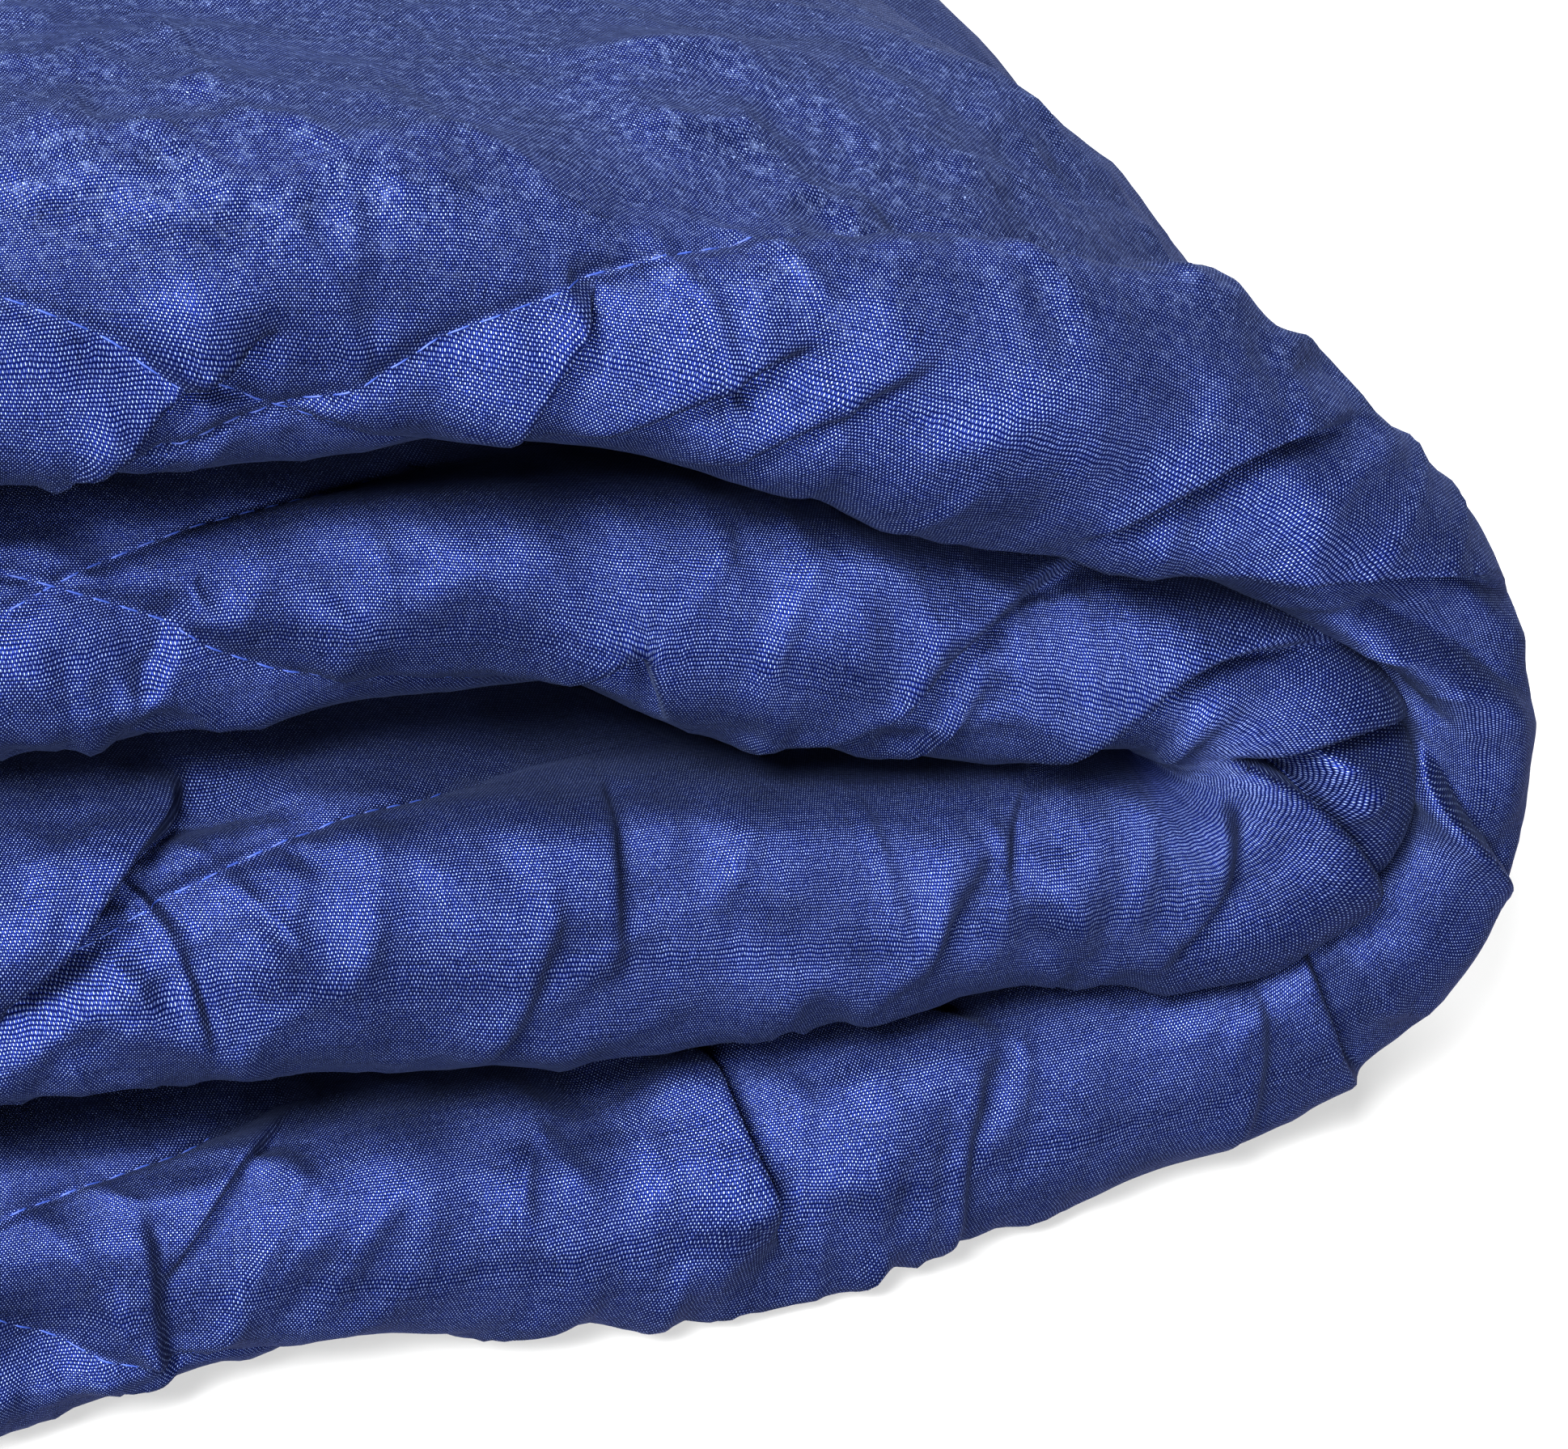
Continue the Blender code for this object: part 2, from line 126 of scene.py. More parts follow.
# A tuck is a fold of cloth lying over its neighbour. It runs from start through middle to end, with
# the cloth standing up by rise on the left of that way, sunk by fall on its right, and hanging over
# by lap. left and right are the widths over which the cloth recovers, and soft is the step's width.
Tuck = namedtuple("Tuck", "start middle end rise fall left right lap soft")
TUCKS = tuple(Tuck(*row) for row in (
    # top layer
    ((230, -14), (243, -3), (255, 2), 2.8, 3.0, 11, 8, 1.8, 1.4),
    ((275, -13), (280, -1.5), (285.5, 8), 3.4, 4.2, 12, 7, 2.6, 1.3),
    ((283, -13), (296, -2.5), (308, 4), 2.4, 2.8, 9, 10, 1.0, 2.0),
    ((298, -16), (309, -4), (320, 5), 1.8, 1.8, 9, 10, 0.4, 2.6),
    ((347, -9), (357, 3), (371, 17), 2.6, 3.0, 13, 10, 1.2, 2.0),
    ((340, -13), (372, -5), (401, 17), 3.2, 3.6, 11, 9, 2.0, 1.5),
    # second layer
    ((1256, 11), (1246, -0.5), (1242, 15), 2.2, 6.8, 8, 7, 1.8, 1.2),
    ((1228, 13), (1208, -5), (1189, -18), 2.6, 2.2, 13, 11, 0.6, 2.4),
    ((1205, 11), (1186, -2), (1171, -15), 3.0, 3.6, 11, 8, 1.6, 1.5),
    ((1293, -6), (1296, 1), (1301, 8), 1.5, 1.2, 7, 7, 0.0, 2.6),
    # third layer
    ((1011, -2), (1026, 13), (1038, 31), 3.8, 4.8, 8, 8, 2.2, 1.4),
    ((1034, -7), (1032, 4), (1028, 13), 1.8, 1.6, 9, 8, 0.2, 2.2),
    ((1078, -3), (1080, 12), (1083, 30), 2.6, 1.2, 13, 13, 0.0, 3.0),
    ((1061, -13), (1068, -2), (1073, 7), 1.6, 0.9, 10, 9, 0.0, 2.6),
    ((1104, -9), (1117, 1), (1123, 10), 1.7, 1.2, 10, 10, 0.0, 3.0),
    ((1123, 2), (1128, 12), (1134, 22), 2.2, 1.6, 11, 11, 0.0, 3.0),
    ((1140, -8), (1150, 0), (1163, 6), 2.4, 2.2, 12, 10, 0.2, 2.6),
    # inner turn: a facet sunk between two creases that meet
    ((1167, 4), (1169.5, -5), (1165.5, -16), 1.4, 7.0, 5, 4.5, 1.0, 0.8),
    ((1154, -17), (1161.5, -3.5), (1171, 4), 1.6, 7.0, 5, 4.5, 0.6, 0.8),
    # bottom layer
    ((597, 0), (589.5, -14), (579, -29), 2.4, 1.6, 6, 10, 0.6, 1.5),
    ((527, 4), (534, -9), (535, -26), 3.6, 4.8, 12, 9, 2.2, 1.4),
    ((594, 16), (597, 0), (599, -15), 2.4, 1.8, 9, 8, 0.0, 2.8),
    ((504, 15), (505, -3), (500, -14), 2.2, 1.2, 11, 10, 0.0, 3.0),
    ((501, -13), (507, -19), (513, -24), 2.0, 1.6, 10, 9, 0.0, 2.6),
    # outer turn
    ((453, 14), (457, -2), (456, -19), 2.8, 3.0, 7, 10, 0.4, 2.0),
    ((432, 9), (426, -1), (415, -9), 2.6, 3.2, 7, 9, 0.4, 2.0),
    ((469, 14), (467, -2), (468, -14), 1.8, 1.2, 10, 9, 0.0, 3.0),
))

# A fold is a ridge, or a trough where height is negative, from start through middle to end. left and
# right are its widths on each side, and crisp goes from 0, round, to 1, sharp.
Fold = namedtuple("Fold", "start middle end height left right crisp")
FOLDS = tuple(Fold(*row) for row in (
    # top layer: ridge over the front roll, and the valley behind it
    ((281, 8), (320, 16), (368, 24), 4.2, 8, 12, 0.5),
    ((276, 14), (320, 27), (372, 38), -3.6, 10, 8, 0.3),
    ((230, 10), (262, 14), (284, 12), 1.2, 8, 8, 0.3),
    ((290, 35), (300, 37), (311, 42), 2.2, 9, 5, 0.7),
    ((288, 55), (302, 54), (314, 65), 2.2, 9, 5, 0.7),
    ((315, 84), (337, 76), (358, 62), 2.0, 10, 8, 0.4),
    ((233, 42), (248, 50), (262, 60), 1.8, 8, 5, 0.6),
    ((228, 17), (237, 18), (246, 22), 1.0, 5, 3, 0.6),
    ((238, 15), (247, 15), (259, 20), 1.0, 4, 3, 0.6),
    ((246, 26), (251, 26), (257, 29), 1.0, 5, 3, 0.6),
    ((262, 16), (267, 16), (272, 19), 1.2, 5, 3, 0.6),
    ((353, 12), (358, 16), (365, 19), -1.4, 6, 5, 0.4),
    ((309, 12), (314, 6), (320, -1), 1.2, 5, 4, 0.6),
    ((245, 8), (245, 2), (240, -4), 0.9, 4, 4, 0.6),
    ((265, 4), (264, -2), (257, -8), 0.9, 6, 4, 0.5),
    ((333, 10), (333, 1), (326, -7), 1.2, 9, 8, 0.4),
    ((352, 10), (349, 3), (345, -5), -1.0, 6, 6, 0.4),
    # outer turn
    ((383, -5), (398, 0), (411, 9), -3.4, 5, 5, 0.9),
    ((387, -10), (404, -2), (416, 10), 2.4, 5, 6, 0.7),
    ((390, -12), (408, -8), (420, 4), -2.2, 5, 5, 0.7),
    ((386, 8), (398, 7), (410, 16), 1.6, 6, 4, 0.7),
    ((420, -14), (425, -5), (433, 6), 2.0, 5, 3, 0.7),
    ((443, -12), (441, 0), (443, 12), 1.4, 8, 7, 0.3),
    ((452, -14), (450, -4), (448, 8), 1.6, 4, 3, 0.7),
    # inner turn
    ((1168.5, -4), (1166, -5), (1166.5, -8), 2.0, 1.4, 1.4, 0.5),
    ((1165, -10), (1163, -7), (1161, -9), 1.6, 1.4, 1.4, 0.5),
    ((1160, -2), (1153, 2), (1145, -3), 1.2, 4, 5, 0.5),
    # second layer
    ((1293, -5), (1297, 0), (1300, 4), -1.2, 5, 5, 0.5),
    ((1187, 5), (1184, -1), (1183, -8), 1.6, 3, 4, 0.6),
    ((1177, 8), (1180, 3), (1176, -5), 1.6, 3, 3, 0.6),
    ((1258, -3), (1262, 5), (1260, 12), -1.4, 6, 6, 0.4),
    ((1278, -4), (1280, 1), (1277, 9), 1.6, 6, 5, 0.5),
    ((1218, -9), (1224, -4), (1222, 4), 1.0, 6, 5, 0.5),
    ((1312, -5), (1307, 2), (1308, 10), 1.0, 5, 5, 0.5),
    # third layer
    ((1046, 15), (1044, 7), (1040, -2), 1.8, 4, 3, 0.8),
    ((1055, 18), (1053, 9), (1050, -1), 2.0, 5, 3.5, 0.8),
    ((1031, 30), (1022, 18), (1012, 8), -1.6, 5, 5, 0.5),
    ((1028, 3), (1026, -1), (1023, -8), 1.2, 4, 4, 0.6),
    ((1099, 17), (1097, 9), (1094, 1), 1.6, 8, 7, 0.4),
    ((1090, 16), (1088, 6), (1090, -4), -1.0, 6, 6, 0.4),
    ((1131, 8), (1134, 3), (1131, -4), 1.2, 6, 5, 0.5),
    # bottom layer
    ((578, -20), (576, -10), (579, 2), 1.4, 7, 6, 0.4),
    ((565, -18), (567, -7), (561, 6), 1.0, 6, 6, 0.4),
    ((556, -14), (558, -4), (556, 8), 1.2, 7, 5, 0.5),
    ((535, -8), (536, 0), (534, 12), 1.8, 5, 3, 0.7),
    ((539, 0), (541, 7), (545, 15), 1.6, 4, 3, 0.7),
    ((550, -10), (552, -2), (549, 8), 0.9, 4, 4, 0.5),
    ((514, -18), (497, -9), (482, 1), 1.8, 7, 5, 0.5),
    ((471, -12), (464, -6), (456, 3), 1.4, 5, 5, 0.4),
    ((519, -14), (516, -4), (518, 8), 1.2, 7, 6, 0.4),
    ((488, -16), (486, -4), (489, 8), -1.0, 8, 7, 0.3),
))

# A swelling is a round rise, or a hollow where height is negative, by its centre and half widths.
Swelling = namedtuple("Swelling", "centre along across height")
SWELLINGS = tuple(Swelling(*row) for row in (
    ((1160, -11), 20, 12, 10.0),
    ((431, -14), 20, 9, -3.5),
    ((1253, 14), 9, 7, -5.5),
    ((252, 1), 4, 3, -1.2),
    ((1270, 12), 8, 6, -1.6),
    ((1286, 13), 8, 7, 1.6),
    ((547, -20), 7, 8, -4.5),
    ((609, 4), 6, 8, -3.0),
    ((602, 8), 7, 4, 2.0),
    ((1040, 25), 7, 6, -3.4),
    ((1053, 26), 7, 5, 2.6),
    ((1027, 10), 3, 3, -2.0),
    ((263, -8), 12, 8, 1.6),
    ((333, -4), 16, 14, 2.0),
    ((1222, -2), 16, 12, 1.6),
    ((1268, -2), 13, 10, 1.2),
    ((1105, 6), 18, 12, 1.2),
    ((1062, 4), 14, 11, 1.4),
    ((560, -2), 14, 12, 1.0),
    ((515, 2), 12, 12, 1.2),
    ((486, 2), 10, 12, 1.0),
    ((1142, 2), 10, 10, 1.0),
))

# ---- Unevenness ----

# Smooth hills: seed, width along and across the strip in metres, and height in mm.
SWELLS = ((1, 0.050, 0.036, 1.5), (2, 0.024, 0.017, 1.3))
WRINKLES = ((3, 0.010, 0.008, 0.45), (4, 0.005, 0.004, 0.15))

# Small crumples: seed, angle to the strip in degrees, ridge spacing in metres and height in mm.
CRUMPLES = (
    (11, 62, 0.0075, 1.7),
    (12, -58, 0.0080, 1.5),
    (13, 95, 0.0065, 1.2),
    (14, 20, 0.0085, 0.9),
)
CRUMPLE_LENGTH = 0.017
CRUMPLE_PATCH = (0.030, 0.022)   # size of the patches in which the crumples come
BEHIND_CALM = 0.35           # share of the crumples missing behind the front folds
TURN_CALM = 0.65             # share of them missing on the outer turn
TURN_CENTRE = 0.420
TURN_REACH = 0.045
PUCKER = 0.9                 # height of the puckers along a seam, in mm
PUCKER_REACH = 0.010         # how far from the seam they fade out
PUCKER_SIZE = (0.0045, 0.014)

CONTACT = 0.0007             # how far cloth that is pressed on its neighbour may stand out
OPEN_RISE = 0.008            # the same for the outward face, which no other layer touches
OPEN_END = 0.83              # where that face ends along the strip
BULGE = 0.016                # how far the inner turn may bulge over the cloth beside it
BULGE_CENTRE = (1.161, -0.011)
BULGE_REACH = (0.017, 0.012)
DEEPEST = 0.62               # share of its thickness that the cloth may sink in
FLOOR_GAP = 0.0004           # lowest place of the cloth above the floor
FLOOR_EASE = 0.0036          # height over which the cloth is flattened on to the floor

# ---- Fineness of the mesh ----

# Zones of the flat cloth. Where two of them overlap, the earlier one sets the points.
Zone = namedtuple("Zone", "u_from u_to v_from v_to step")
ZONES = tuple(Zone(*row) for row in (
    (0.165, 0.700, -0.030, 0.030, 0.0013),
    (0.985, 1.360, -0.030, 0.030, 0.0013),
    (0.165, 0.480, 0.030, 0.110, 0.0020),
    (0.165, 0.480, 0.110, 0.200, 0.0040),
    (0.000, 1.600, -0.034, 0.034, 0.0040),
    (0.000, 0.840, 0.034, 0.700, 0.0090),
    (0.000, 1.600, -0.700, 0.700, 0.0130),
))
FINE_STEP = 0.0015           # zones with a smaller step than this are the fine ones
FRONT_BAND = 0.028           # the front folds, as v on both sides of their front line
OUTWARD_END = 1.06           # the outward face's seams have rows of points up to here
OUT_OF_SIGHT = (0.70, 0.985)     # the camera doesn't see the front between these distances
SEAM_NUMBERS = range(-4, 8)
SEAM_REACHES = (-1.6, 1.6)   # distances along a seam between which it crosses the cloth
SEAM_STEP = 0.0014
FRONT_SEAM_ROWS = (-0.0020, -0.0009, 0.0, 0.0009, 0.0020)
SEAM_ROWS = (-0.0065, -0.0030, -0.0010, 0.0010, 0.0030, 0.0065)
TUCK_ROWS = (-2.6, -1.6, -0.9, -0.45, -0.1, 0.25, 0.7, 1.3, 2.1, 3.0)      # mm beside a tuck
TUCK_BAND = 3.4              # half width in mm of the band that these rows fill
FOLD_ROWS = (-1.6, -0.7, 0, 0.7, 1.6)                                      # mm beside a fold
FOLD_BAND = 2.1
CRISP = 0.5                  # folds as crisp as this have rows of points
SLIT_STEP = 0.020
TIP_STEP = 0.008             # spacing at the tip of the slit between the two thicknesses
TIP_ROWS = (-0.006, -0.002, 0.0, 0.002, 0.006)
HEM_ROWS = (0.0005, 0.0014, 0.0027, 0.0042, 0.0065, 0.0100, 0.0140, 0.0200)
HEM_STEP = 0.009
HEM_MARGIN = 0.003           # space between the hem's rows and the other points
HEM_ROUND = 0.0050           # how far in from its edge the hem's round side reaches
FINE_GAP = 0.0024            # how far the points of fine and coarse zones stay from a seam
COARSE_GAP = 0.008
NEAREST = 0.00030            # points closer together than this are thinned out


# ---- Path of the strip ----

def column(name):
    return np.array([getattr(row, name) for row in SECTIONS])


def height(layer, x):
    """Height of a layer's upper face: a smooth curve through the sections, or the floor."""
    x = np.asarray(x, float)
    if layer == "floor":
        return np.zeros_like(x)
    xs = column("x")
    values = column(layer)
    slopes = np.gradient(values, xs)
    i = np.clip(np.searchsorted(xs, x) - 1, 0, len(xs) - 2)
    width = xs[i + 1] - xs[i]
    t = np.clip((x - xs[i]) / width, 0, 1)
    start = (2 * t**3 - 3 * t**2 + 1) * values[i] + (t**3 - 2 * t**2 + t) * width * slopes[i]
    end = (3 * t**2 - 2 * t**3) * values[i + 1] + (t**3 - t**2) * width * slopes[i + 1]
    return start + end


def slope(layer, x):
    step = 0.001
    return float(height(layer, x + step) - height(layer, x - step)) / (2 * step)


def point_on(layer, x):
    return np.array([x, float(height(layer, x))])


def run(layer, start, end, count=300):
    """Part of a layer's upper face as points from one x to another."""
    x = np.linspace(start, end, count)
    return np.stack([x, height(layer, x)], axis=1)


def bezier(a, b, c, d, count=300):
    t = np.linspace(0, 1, count)[:, None]
    a, b, c, d = (np.asarray(p, float) for p in (a, b, c, d))
    return (1 - t)**3 * a + 3 * (1 - t)**2 * t * b + 3 * (1 - t) * t**2 * c + t**3 * d


def turn_down(layer, x, point, reach, drop):
    """Curve from a layer's face over to the rightmost point of a turn."""
    start = point_on(layer, x)
    width = point[0] - x
    fall = start[1] - point[1]
    return bezier(start, start + [reach * width, slope(layer, x) * reach * width],
                  [point[0], point[1] + drop * fall], point)


def turn_under(point, layer, x, drop, reach):
    """Curve from the rightmost point of a turn back under to a layer's face."""
    end = point_on(layer, x)
    width = point[0] - x
    fall = point[1] - end[1]
    return bezier(point, [point[0], point[1] - drop * fall],
                  end + [reach * width, slope(layer, x) * reach * width], end)


def unit(vectors):
    return vectors / np.linalg.norm(vectors, axis=1)[:, None]


def left_of(curve):
    """Unit directions to the left of a curve."""
    way = unit(np.gradient(curve, axis=0))
    return np.stack([-way[:, 1], way[:, 0]], axis=1)


def shifted(curve, distance):
    """The curve moved sideways, to its left as it runs."""
    return curve + distance * left_of(curve)


def distances(curve):
    """Length of a curve up to each of its points."""
    return np.r_[0, np.cumsum(np.linalg.norm(np.diff(curve, axis=0), axis=1))]


def sampled(curve, at, wanted):
    """Points at the wanted distances along a curve whose own points are at the distances at."""
    return np.stack([np.interp(wanted, at, curve[:, axis]) for axis in (0, 1)], axis=-1)


def even(curve, count=300):
    at = distances(curve)
    return sampled(curve, at, np.linspace(0, at[-1], count))


def nearest(curve, x, first, last):
    return first + int(np.argmin(abs(curve[first:last, 0] - x)))


def wrapped_gap():
    """Middle of the gap between the outer and the inner layers, and its index at the inner turn."""
    upper = run("second", LEFT_END, INNER_TOP)
    over = turn_down("second", INNER_TOP, INNER_POINT, *INNER_OVER)
    under = turn_under(INNER_POINT, "bottom", INNER_HEEL, *INNER_UNDER)
    lower = run("bottom", INNER_HEEL, LEFT_TURN + TIP_BACK)
    return np.concatenate([upper, over, under, lower]), len(upper) + len(over) - 1


def outer_wrap(outside, tip):
    """Outward and inward curves of the top layer, the outer turn and the bottom layer."""
    top = nearest(outside, OUTER_TOP, 0, tip)
    heel = nearest(outside, OUTER_HEEL + 0.004, tip, len(outside))
    return [
        (run("top", LEFT_END, OUTER_TOP), outside[:top + 1]),
        (turn_down("top", OUTER_TOP, OUTER_POINT, *OUTER_OVER), outside[top:tip + 1]),
        (turn_under(OUTER_POINT, "floor", OUTER_HEEL, *OUTER_UNDER), outside[tip:heel + 1]),
        (run("floor", OUTER_HEEL, LEFT_TURN), outside[heel:]),
    ]


def left_wrap(wrap, outside, inside):
    """Curves of the left turn, round a tight crease at the end of the gap below the third layer."""
    crest = float(height("third", LEFT_TURN))
    bulge = np.array([LEFT_BULGE, crest / 2])
    crease = np.array([wrap[-1][0] - TIP_LEVEL, wrap[-1][1]])
    lean = [LEFT_REACH, slope("third", LEFT_TURN) * LEFT_REACH]
    leave = np.array([LEFT_TURN, crest - LAYER_GAP / 2])
    upright = np.array([0, LEFT_RISE])
    level = np.array([CREASE_LEVEL, 0])
    rise = np.array([0, CREASE_RISE])
    return [
        (bezier((LEFT_TURN, 0), (LEFT_TURN - LEFT_REACH, 0), bulge - upright, bulge),
         bezier(outside[-1], outside[-1] - level, crease - rise, crease)),
        (bezier(bulge, bulge + upright, leave - lean, leave),
         bezier(crease, crease + rise, inside[0] - level, inside[0])),
    ]


def inner_wrap(inside, turn):
    """Curves of the third layer, the inner turn and the second layer."""
    below = nearest(inside, INNER_TIP - TIP_LEVEL, 0, turn)
    above = nearest(inside, INNER_TIP - TIP_LEVEL, turn, len(inside))
    end = nearest(inside, LEFT_END + 0.003, above, len(inside))
    third = shifted(run("third", LEFT_TURN, INNER_TIP - TIP_BACK), -LAYER_GAP / 2)
    second = shifted(run("third", INNER_TIP - TIP_BACK, LEFT_END + 0.003), -LAYER_GAP / 2)
    point = point_on("third", INNER_TIP)
    level = np.array([TIP_LEVEL, 0])
    rise = np.array([0, CREASE_RISE])
    return [
        (third, inside[:below + 1]),
        (bezier(third[-1], third[-1] + level, point - rise, point), inside[below:turn + 1]),
        (bezier(point, point + rise, second[0] + level, second[0]), inside[turn:above + 1]),
        (second, inside[above:end + 1]),
    ]


def paired_faces():
    """Points of the strip's outward face and inward face, pair by pair along its path."""
    wrap, tip = wrapped_gap()
    outside = shifted(wrap, LAYER_GAP / 2)
    inside = shifted(wrap, -LAYER_GAP / 2)[::-1]
    pairs = outer_wrap(outside, tip) + left_wrap(wrap, outside, inside)
    pairs += inner_wrap(inside, len(wrap) - 1 - tip)
    return tuple(np.concatenate([even(pair[side]) for pair in pairs]) for side in (0, 1))


def eased(curve, at, wanted):
    """The curve sampled at even distances and averaged over CORNER_SOFTNESS each way."""
    points = sampled(curve, at, wanted)
    span = int(CORNER_SOFTNESS / RAIL_STEP)
    weights = np.hanning(2 * span + 3)[1:-1]
    weights /= weights.sum()
    before = 2 * points[0] - points[span:0:-1]
    after = 2 * points[-1] - points[-2:-span - 2:-1]
    padded = np.concatenate([before, points, after])
    return np.stack([np.convolve(padded[:, axis], weights, "valid") for axis in (0, 1)], axis=1)


def front_setback(outward, inward):
    """How far the front fold stands back at each point of the path."""
    x = (outward[:, 0] + inward[:, 0]) / 2
    count = len(x)
    third = count // 3
    outer_turn = int(np.argmax(x[:third * 3 // 2]))
    left_turn = third + int(np.argmin(x[third:2 * third]))
    inner_turn = left_turn + int(np.argmax(x[left_turn:]))
    bounds = (0, outer_turn, left_turn, inner_turn, count)
    setback = np.zeros(count)
    for index, layer in enumerate(("top", "bottom", "third", "second")):
        part = slice(bounds[index], bounds[index + 1])
        setback[part] = np.interp(x[part], column("x"), column("back_" + layer))
    weights = np.hanning(2 * SETBACK_SPAN + 1)
    padded = np.pad(setback, SETBACK_SPAN, mode="edge")
    return np.convolve(padded, weights / weights.sum(), "valid")


class Strip:
    """The plain folded strip: where each point of the flat cloth lies before it creases."""

    def __init__(self, low):
        outward, inward = paired_faces()
        middle = (outward + inward) / 2
        at = distances(middle)
        fresh = np.r_[True, np.diff(at) > 1e-7]
        self.at = np.arange(0, at[-1], RAIL_STEP)
        self.length = self.at[-1]
        self.outward = eased(outward[fresh], at[fresh], self.at)
        self.inward = eased(inward[fresh], at[fresh], self.at)
        self.setback = front_setback(self.outward, self.inward)
        self.shift = np.zeros(3)
        self.shift[0] = low[0] - min(self.outward[:, 0].min(), self.inward[:, 0].min())
        self.shift[1] = low[1] - self.setback.min()

    def rails(self, u):
        """Middle, half reach, half thickness, front radius and arc length at distances u."""
        u = np.clip(u, 0, self.length)
        out = sampled(self.outward, self.at, u)
        into = sampled(self.inward, self.at, u)
        middle = (out + into) / 2
        reach = (out - into) / 2
        half = np.linalg.norm(reach, axis=-1)
        radius = np.minimum(FRONT_RADIUS, 0.9 * half)
        arc = math.pi / 2 * np.sqrt((radius**2 + half**2) / 2)
        return middle, reach, half, radius, arc

    def place(self, middle, reach, side, depth, u):
        flat = middle + side[..., None] * reach
        back = np.interp(u, self.at, self.setback)
        return np.stack([flat[..., 0], back + depth, flat[..., 1]], axis=-1) + self.shift

    def outside(self, u, v):
        """Points of the outer faces."""
        middle, reach, half, radius, arc = self.rails(u)
        turn = np.clip(v / arc, -1, 1) * math.pi / 2
        side = rounded(np.sin(turn))
        sag = np.interp(u, SAG_CHANGE, (TOP_SAG, LOWER_SAG)) * reach[..., 1] / half
        away = abs(side + sag) / (1 + sag * np.sign(side + sag))
        round_depth = 1 - (1 - np.minimum(away, 1)**FRONT_SQUARENESS)**(1 / FRONT_SQUARENESS)
        depth = radius * round_depth + np.maximum(abs(v) - arc, 0)
        return self.place(middle, reach, side, np.minimum(depth, LAYER_DEPTH), u)

    def between(self, u, v, draw):
        """Points of the faces between the two thicknesses; v is from hem to hem as outside."""
        middle, reach, half, radius, arc = self.rails(u)
        edge = arc + LAYER_DEPTH - radius
        share = np.clip(abs(v) / edge, 0, 1)
        tip = radius + 0.001
        depth = tip + (LAYER_DEPTH - tip) * share
        opening = (PLY_GAP / 2 + draw) * eased_step(share * edge / SLIT_EASE)
        return self.place(middle, reach, np.sign(v) * opening / half, depth, u)

    def edge(self, u):
        """v at the hem."""
        _, _, _, radius, arc = self.rails(u)
        return arc + LAYER_DEPTH - radius

    def to_hem(self, u, v):
        """Distance to the nearest edge of the cloth."""
        return np.minimum(np.minimum(u, self.length - u), self.edge(u) - abs(v))

    def ply(self, u):
        """Thickness of one of the two thicknesses."""
        return self.rails(u)[2] - PLY_GAP / 2

    def hem_draw(self, u, v):
        """How far each face is drawn in towards the hem."""
        return HEM_DRAW * self.ply(u) * np.clip(1 - self.to_hem(u, v) / HEM_REACH, 0, 1)**2


def rounded(value):
    return np.sign(value) * abs(value) ** (2 / FRONT_SQUARENESS)


def eased_step(t):
    t = np.clip(t, 0, 1)
    return t * t * (3 - 2 * t)


# ---- Seams, tucks and folds ----

def cloth_length(u):
    """Length of cloth up to a distance along the folded strip."""
    return u + GATHER * eased_step((u - GATHER_START) / GATHER_LENGTH)


def seam_distances(u, v):
    """Distance to the nearest seam of each family."""
    found = []
    for family in SEAM_FAMILIES:
        across = (cloth_length(u) - family.start) * math.sin(family.angle) - v * math.cos(family.angle)
        pitch = abs(family.spacing * math.sin(family.angle))
        found.append(abs(across - pitch * np.round(across / pitch)))
    return found


def seam_hollow(u, v):
    """How far the face is drawn in by the nearest sewn channels."""
    hollow = np.zeros(np.broadcast(u, v).shape)
    for distance in seam_distances(u, v):
        wide = np.cos(np.clip(distance / SEAM_REACH, 0, 1) * math.pi / 2)**2
        narrow = np.exp(-distance / SEAM_SHARPNESS)
        ditch = SEAM_DITCH * np.exp(-(distance / DITCH_WIDTH)**2)
        hollow = np.maximum(hollow, SEAM_DEPTH * (0.42 * wide + 0.58 * narrow) + ditch)
    return hollow


def noise(seed, u, v, width_u, width_v):
    """Smooth random heights from -1 to 1, with hills about one width across."""
    size = 64
    grid = np.random.default_rng(seed).uniform(-1, 1, (size, size))
    a = u / width_u + 7.3
    b = v / width_v + 31.7
    i = np.floor(a).astype(int)
    j = np.floor(b).astype(int)
    s = eased_step(a - i)
    t = eased_step(b - j)
    near = grid[i % size, j % size] * (1 - s) + grid[(i + 1) % size, j % size] * s
    far = grid[i % size, (j + 1) % size] * (1 - s) + grid[(i + 1) % size, (j + 1) % size] * s
    return near * (1 - t) + far * t


def crease_curve(crease, count):
    """Points in metres along a tuck or fold, on the curve through its three places."""
    start, middle, end = (np.array(p) * MM for p in (crease.start, crease.middle, crease.end))
    control = 2 * middle - (start + end) / 2
    t = np.linspace(0, 1, count)[:, None]
    return (1 - t)**2 * start + 2 * (1 - t) * t * control + t**2 * end


